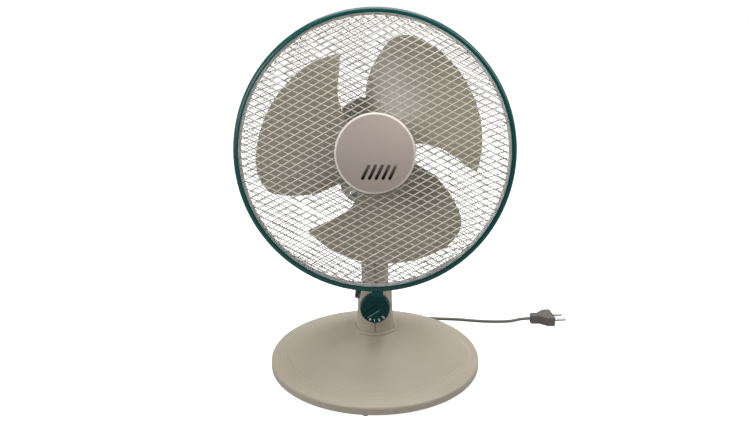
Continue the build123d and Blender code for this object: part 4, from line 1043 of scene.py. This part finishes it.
@dataclass
class MainsCord:
    """The cord on one spline: out of the base, round its hank and on to the plug."""

    diameter: float = 4.8
    way_in: Sequence[Point] = ((0, 171.8, 10.8), (0, 180.6, 10.8), (-7, 190, 12.6))
    way_out: Sequence[Point] = (
        (21, 196.3, 2.5), (21.4, 176, 2.5), (35, 160.5, 2.5), (60, 150, 2.5), (90.8, 142.4, 2.5),
        (113.4, 141.0, 2.5), (137.5, 138.6, 2.5), (161, 133.4, 2.5), (184.7, 130.6, 2.5),
        (208.9, 130.9, 2.5), (222, 131.5, 3.6), (236, 132.4, 6.8), (250, 133.6, 6.8),
    )
    fold_near: float = 213.0
    fold_far: float = 259.0
    turns: Sequence[Pair] = ((20.8, 12.4), (20.8, 7.5), (15.9, 7.5), (15.9, 2.5), (20.8, 2.5))
    fold_steps: int = 5
    fold_drop: float = 1.6
    tie_half_w: float = 24.2
    tie_top: float = 15.6
    tie_low: float = 0.1
    tie_width: float = 6.0
    tie_wall: float = 0.9
    tie_round_r: float = 5.0
    tie_steps: int = 6

    @property
    def middle(self) -> float:
        """How far back the hank's middle lies."""
        return (self.fold_near + self.fold_far) / 2

    def build(self) -> Piece:
        """Make the cord.

        Returns:
            The cord, a curve.
        """
        points = [*self.way_in, *self._hank(), *self.way_out]
        curve = bpy.data.curves.new("mains_lead", "CURVE")
        curve.dimensions = "3D"
        curve.bevel_depth = self.diameter * MM / 2
        curve.bevel_resolution = 4
        curve.use_fill_caps = True
        spline = curve.splines.new("NURBS")
        spline.points.add(len(points) - 1)
        for made, point in zip(spline.points, points):
            made.co = (*(level * MM for level in point), 1)
        spline.order_u = 3
        spline.use_endpoint_u = True
        spline.resolution_u = 6
        curve.materials.append(Finish.JACKET.material())
        LOG.info("mains_lead: one spline of %d points", len(points))
        return link(bpy.data.objects.new("mains_lead", curve))

    def _hank(self) -> List[Point]:
        """Points of the put-away turns, from the top of the hank to its bottom.

        Returns:
            The points, in millimetres.
        """
        points: List[Point] = []
        last = len(self.turns) - 1
        for index, (radius, level) in enumerate(self.turns):
            after_radius, after_level = self.turns[min(index + 1, last)]
            points += [(-radius, self.fold_near, level), (-radius, self.middle, level)]
            for step in range(self.fold_steps):
                angle = math.pi * (1 - step / (self.fold_steps - 1))
                points.append((radius * math.cos(angle), self.fold_far + radius * math.sin(angle), level))
            points.append((radius, self.middle, level))
            if index == last:
                break
            # The way back ends where the next turn begins, so its last step is left out.
            for step in range(self.fold_steps - 1):
                share = step / (self.fold_steps - 1)
                reach = radius + (after_radius - radius) * share
                angle = -math.pi * share
                height = level + (after_level - level) * min(self.fold_drop * share, 1.0)
                points.append((reach * math.cos(angle), self.fold_near + reach * math.sin(angle), height))
        return points

    def dress(
        self, lead: Piece, nodes: Dict[str, Piece], extras: Sequence[Piece]
    ) -> None:
        """Args:
            lead: The cord.
            nodes: The frame's objects by name; not used.
            extras: Pieces made on the plug; not used.
        """
        tie = self._tie()
        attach(lead, "stand")
        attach(tie, "stand")
        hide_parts("mains_cord", "cord_hank")

    def _tie(self) -> Piece:
        """A flat tie round the hank's middle.

        Returns:
            The tie.
        """
        round_r, half_h = self.tie_round_r, self.tie_top / 2
        side, high, low = self.tie_half_w - round_r, self.tie_top - round_r, self.tie_low + round_r
        outline: List[Pair] = []
        for quarter, (x, z) in enumerate(((side, high), (-side, high), (-side, low), (side, low))):
            for step in range(self.tie_steps + 1):
                angle = math.radians(90 * quarter + 90 / self.tie_steps * step)
                outline.append((x + round_r * math.cos(angle), z + round_r * math.sin(angle)))
        near, far = self.middle - self.tie_width / 2, self.middle + self.tie_width / 2
        rings = []
        for y, inset in ((near, 0.0), (far, 0.0), (far, self.tie_wall), (near, self.tie_wall)):
            wide, tall = 1 - inset / self.tie_half_w, 1 - inset / half_h
            rings.append([Vector((x * wide, y, (z - half_h) * tall + half_h)) for x, z in outline])
        return mesh_piece("hank_tie", loft(rings, closed=True), Finish.RUBBER)


@dataclass
class NeckTongue:
    """The tongue in the seam at the back of the neck, which closes the gap between its two shells."""

    profile: Sequence[Pair] = (
        (26.5, 60.5), (25.2, 72.0), (24.5, 84.9), (24.0, 97.0), (23.6, 108.5),
        (19.0, 118.0), (18.7, 122.0), (18.7, 207.0),
    )
    sunk: float = 0.7
    depth: float = 1.2
    half_w: float = 0.43

    def build(self) -> None:
        """Sweep the tongue along the wall and ride it on the stand."""
        rings = []
        for radius, height in self.profile:
            outer = radius - self.sunk
            inner = outer - self.depth
            corners = ((-1, outer), (1, outer), (1, inner), (-1, inner))
            rings.append([Vector((side * self.half_w, y, height)) for side, y in corners])
        tongue = mesh_piece("neck_tongue", loft(rings), Finish.STONE, smooth=False)
        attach(tongue, "stand")


@dataclass
class CordFittings:
    """Moulded ribs on the strain relief and grip ridges on the plug."""

    base_r: float = 146.8
    relief_z: float = 10.8
    relief_r: float = 3.9
    relief_tip_r: float = 3.2
    relief_l: float = 25.0
    rib_count: int = 7
    rib_start: float = 3.4
    rib_pitch: float = 3.0
    rib_share: float = 0.15
    plug_tail: Point = (250.0, 133.6, 6.8)
    plug_lean: float = 4.9
    plug_half_h: float = 6.8
    ridge_count: int = 4
    ridge_start: float = 2.6
    ridge_pitch: float = 2.7
    ridge_half: Point = (0.7, 4.7, 0.6)

    def build(self) -> List[Piece]:
        """Make both and ride them on the stand.

        Returns:
            What lies on the cord's plug.
        """
        ribs = self._ribs()
        ridges = self._ridges()
        for piece in (ribs, ridges):
            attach(piece, "stand")
        return [ridges]

    def _ribs(self) -> Piece:
        """Rings along the tapered relief.

        Returns:
            The rings.
        """
        tree = GeoTree("relief_ribs", {"Rib thickness": self.rib_share})
        hoop = tree.node("GeometryNodeCurvePrimitiveCircle", {}, {"Resolution": 24, "Radius": 1.0})
        thick = {"Resolution": 8, "Radius": tree.size("Rib thickness")}
        section = tree.node("GeometryNodeCurvePrimitiveCircle", {}, thick)
        rib = tree.node("GeometryNodeCurveToMesh", {}, {0: hoop, 1: section})
        tree.spread(rib, "Z", Finish.JACKET, girthed=True)
        runs = [self.rib_start + self.rib_pitch * i for i in range(self.rib_count)]
        taper = (self.relief_tip_r - self.relief_r) / self.relief_l
        points = [Vector((0, self.base_r + run, self.relief_z)) * MM for run in runs]
        girths = [(self.relief_r + taper * run) * MM for run in runs]
        seeds = seeds_mesh("relief_seeds", points, [Vector((0, 1, 0))] * len(runs), girths)
        return tree.grow("relief_ribs", seeds)

    def _ridges(self) -> Piece:
        """Low ridges across the top of the plug's tail.

        Returns:
            The ridges.
        """
        halves = ("Half length", "Half width", "Half height")
        tree = GeoTree("plug_ridges", {name: half * MM for name, half in zip(halves, self.ridge_half)})
        tree.spread(tree.ball(halves, segments=16, rings=8), "X", Finish.JACKET)
        lean = math.radians(self.plug_lean)
        along = Vector((math.cos(lean), math.sin(lean), 0))
        top = Vector(self.plug_tail) + Vector((0, 0, self.plug_half_h))
        runs = [self.ridge_start + self.ridge_pitch * i for i in range(self.ridge_count)]
        points = [(top + along * run) * MM for run in runs]
        return tree.grow("plug_ridges", seeds_mesh("ridge_seeds", points, [along] * len(points)))


@dataclass
class Dresser:
    """Finishes for the nodes that keep their shape."""

    finishes: Dict[Finish, Sequence[str]] = field(
        default_factory=lambda: {
            Finish.STONE: ("base_cover", "neck_left", "neck_right", "rear_cover"),
            Finish.CAP: ("front_cap",),
            Finish.BLADE: ("fan_blades", "blade_nut"),
            Finish.TEAL: ("guard_ring", "swing_knob"),
            Finish.DIAL: ("speed_knob",),
            Finish.DARK: ("switch_body", "guard_nut", "cap_backing"),
            Finish.ZINC: ("back_plate", "guard_plate"),
            Finish.NYLON: (
                "thrust_washer", "gear_case", "gear_lid", "worm_wheel", "gear_spindle", "crank_gear",
                "crank_disc", "drive_worm",
            ),
            Finish.WIRE: ("front_wires_outer", "front_wires_inner"),
            # The rear wires get the darker copy of the wire paint: painted shade.
            Finish.WIRE_BEHIND: ("rear_wires_outer", "rear_wires_inner"),
            Finish.HOOP: ("guard_hoops",),
            Finish.SHEET: ("base_plate",),
            Finish.STEEL: (
                "base_screws", "neck_screws", "tilt_bolt", "tilt_nut", "plug_pins", "switch_shaft",
                "swivel_pin", "swivel_clip", "crank_link", "motor_bolts", "gear_screws", "cover_screw",
                "motor_shaft", "drive_pin",
            ),
            Finish.CHROME: ("plate_screws",),
            Finish.SCREW: ("ring_screw",),
            Finish.CAST: ("tilt_knuckle", "motor_bracket", "front_bell", "rear_bell"),
            Finish.BRONZE: ("shaft_bushes",),
            Finish.IRON: ("base_weight",),
            Finish.SHEETS: ("stator_core", "rotor_core"),
            Finish.COPPER: ("stator_windings",),
            Finish.RUBBER: ("base_feet",),
            Finish.JACKET: ("strain_relief", "mains_cord", "cord_hank", "plug_body"),
        }
    )

    def dress(self, nodes: Dict[str, Piece]) -> None:
        """Give each node its finish.

        Args:
            nodes: The frame's objects by name.
        """
        left = set(nodes)
        for finish, names in self.finishes.items():
            for name in names:
                slots = nodes[name].data.materials
                slots.clear()
                slots.append(finish.material())
                left.discard(name)
                LOG.info("%s: %s", name, finish.value.name)
        LOG.info("nodes without a finish: %s", sorted(left))


def main() -> None:
    """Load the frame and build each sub-assembly."""
    logging.basicConfig(level=logging.INFO, format="%(name)s: %(message)s")
    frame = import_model()
    nodes = frame["nodes"]
    Studio().build()
    cord = MainsCord()
    lead = cord.build()
    cord.dress(lead, nodes, CordFittings().build())
    Dresser().dress(nodes)
    MeshGuard().build()
    DialMarks().build()
    NeckTongue().build()


if __name__ == "__main__":
    main()
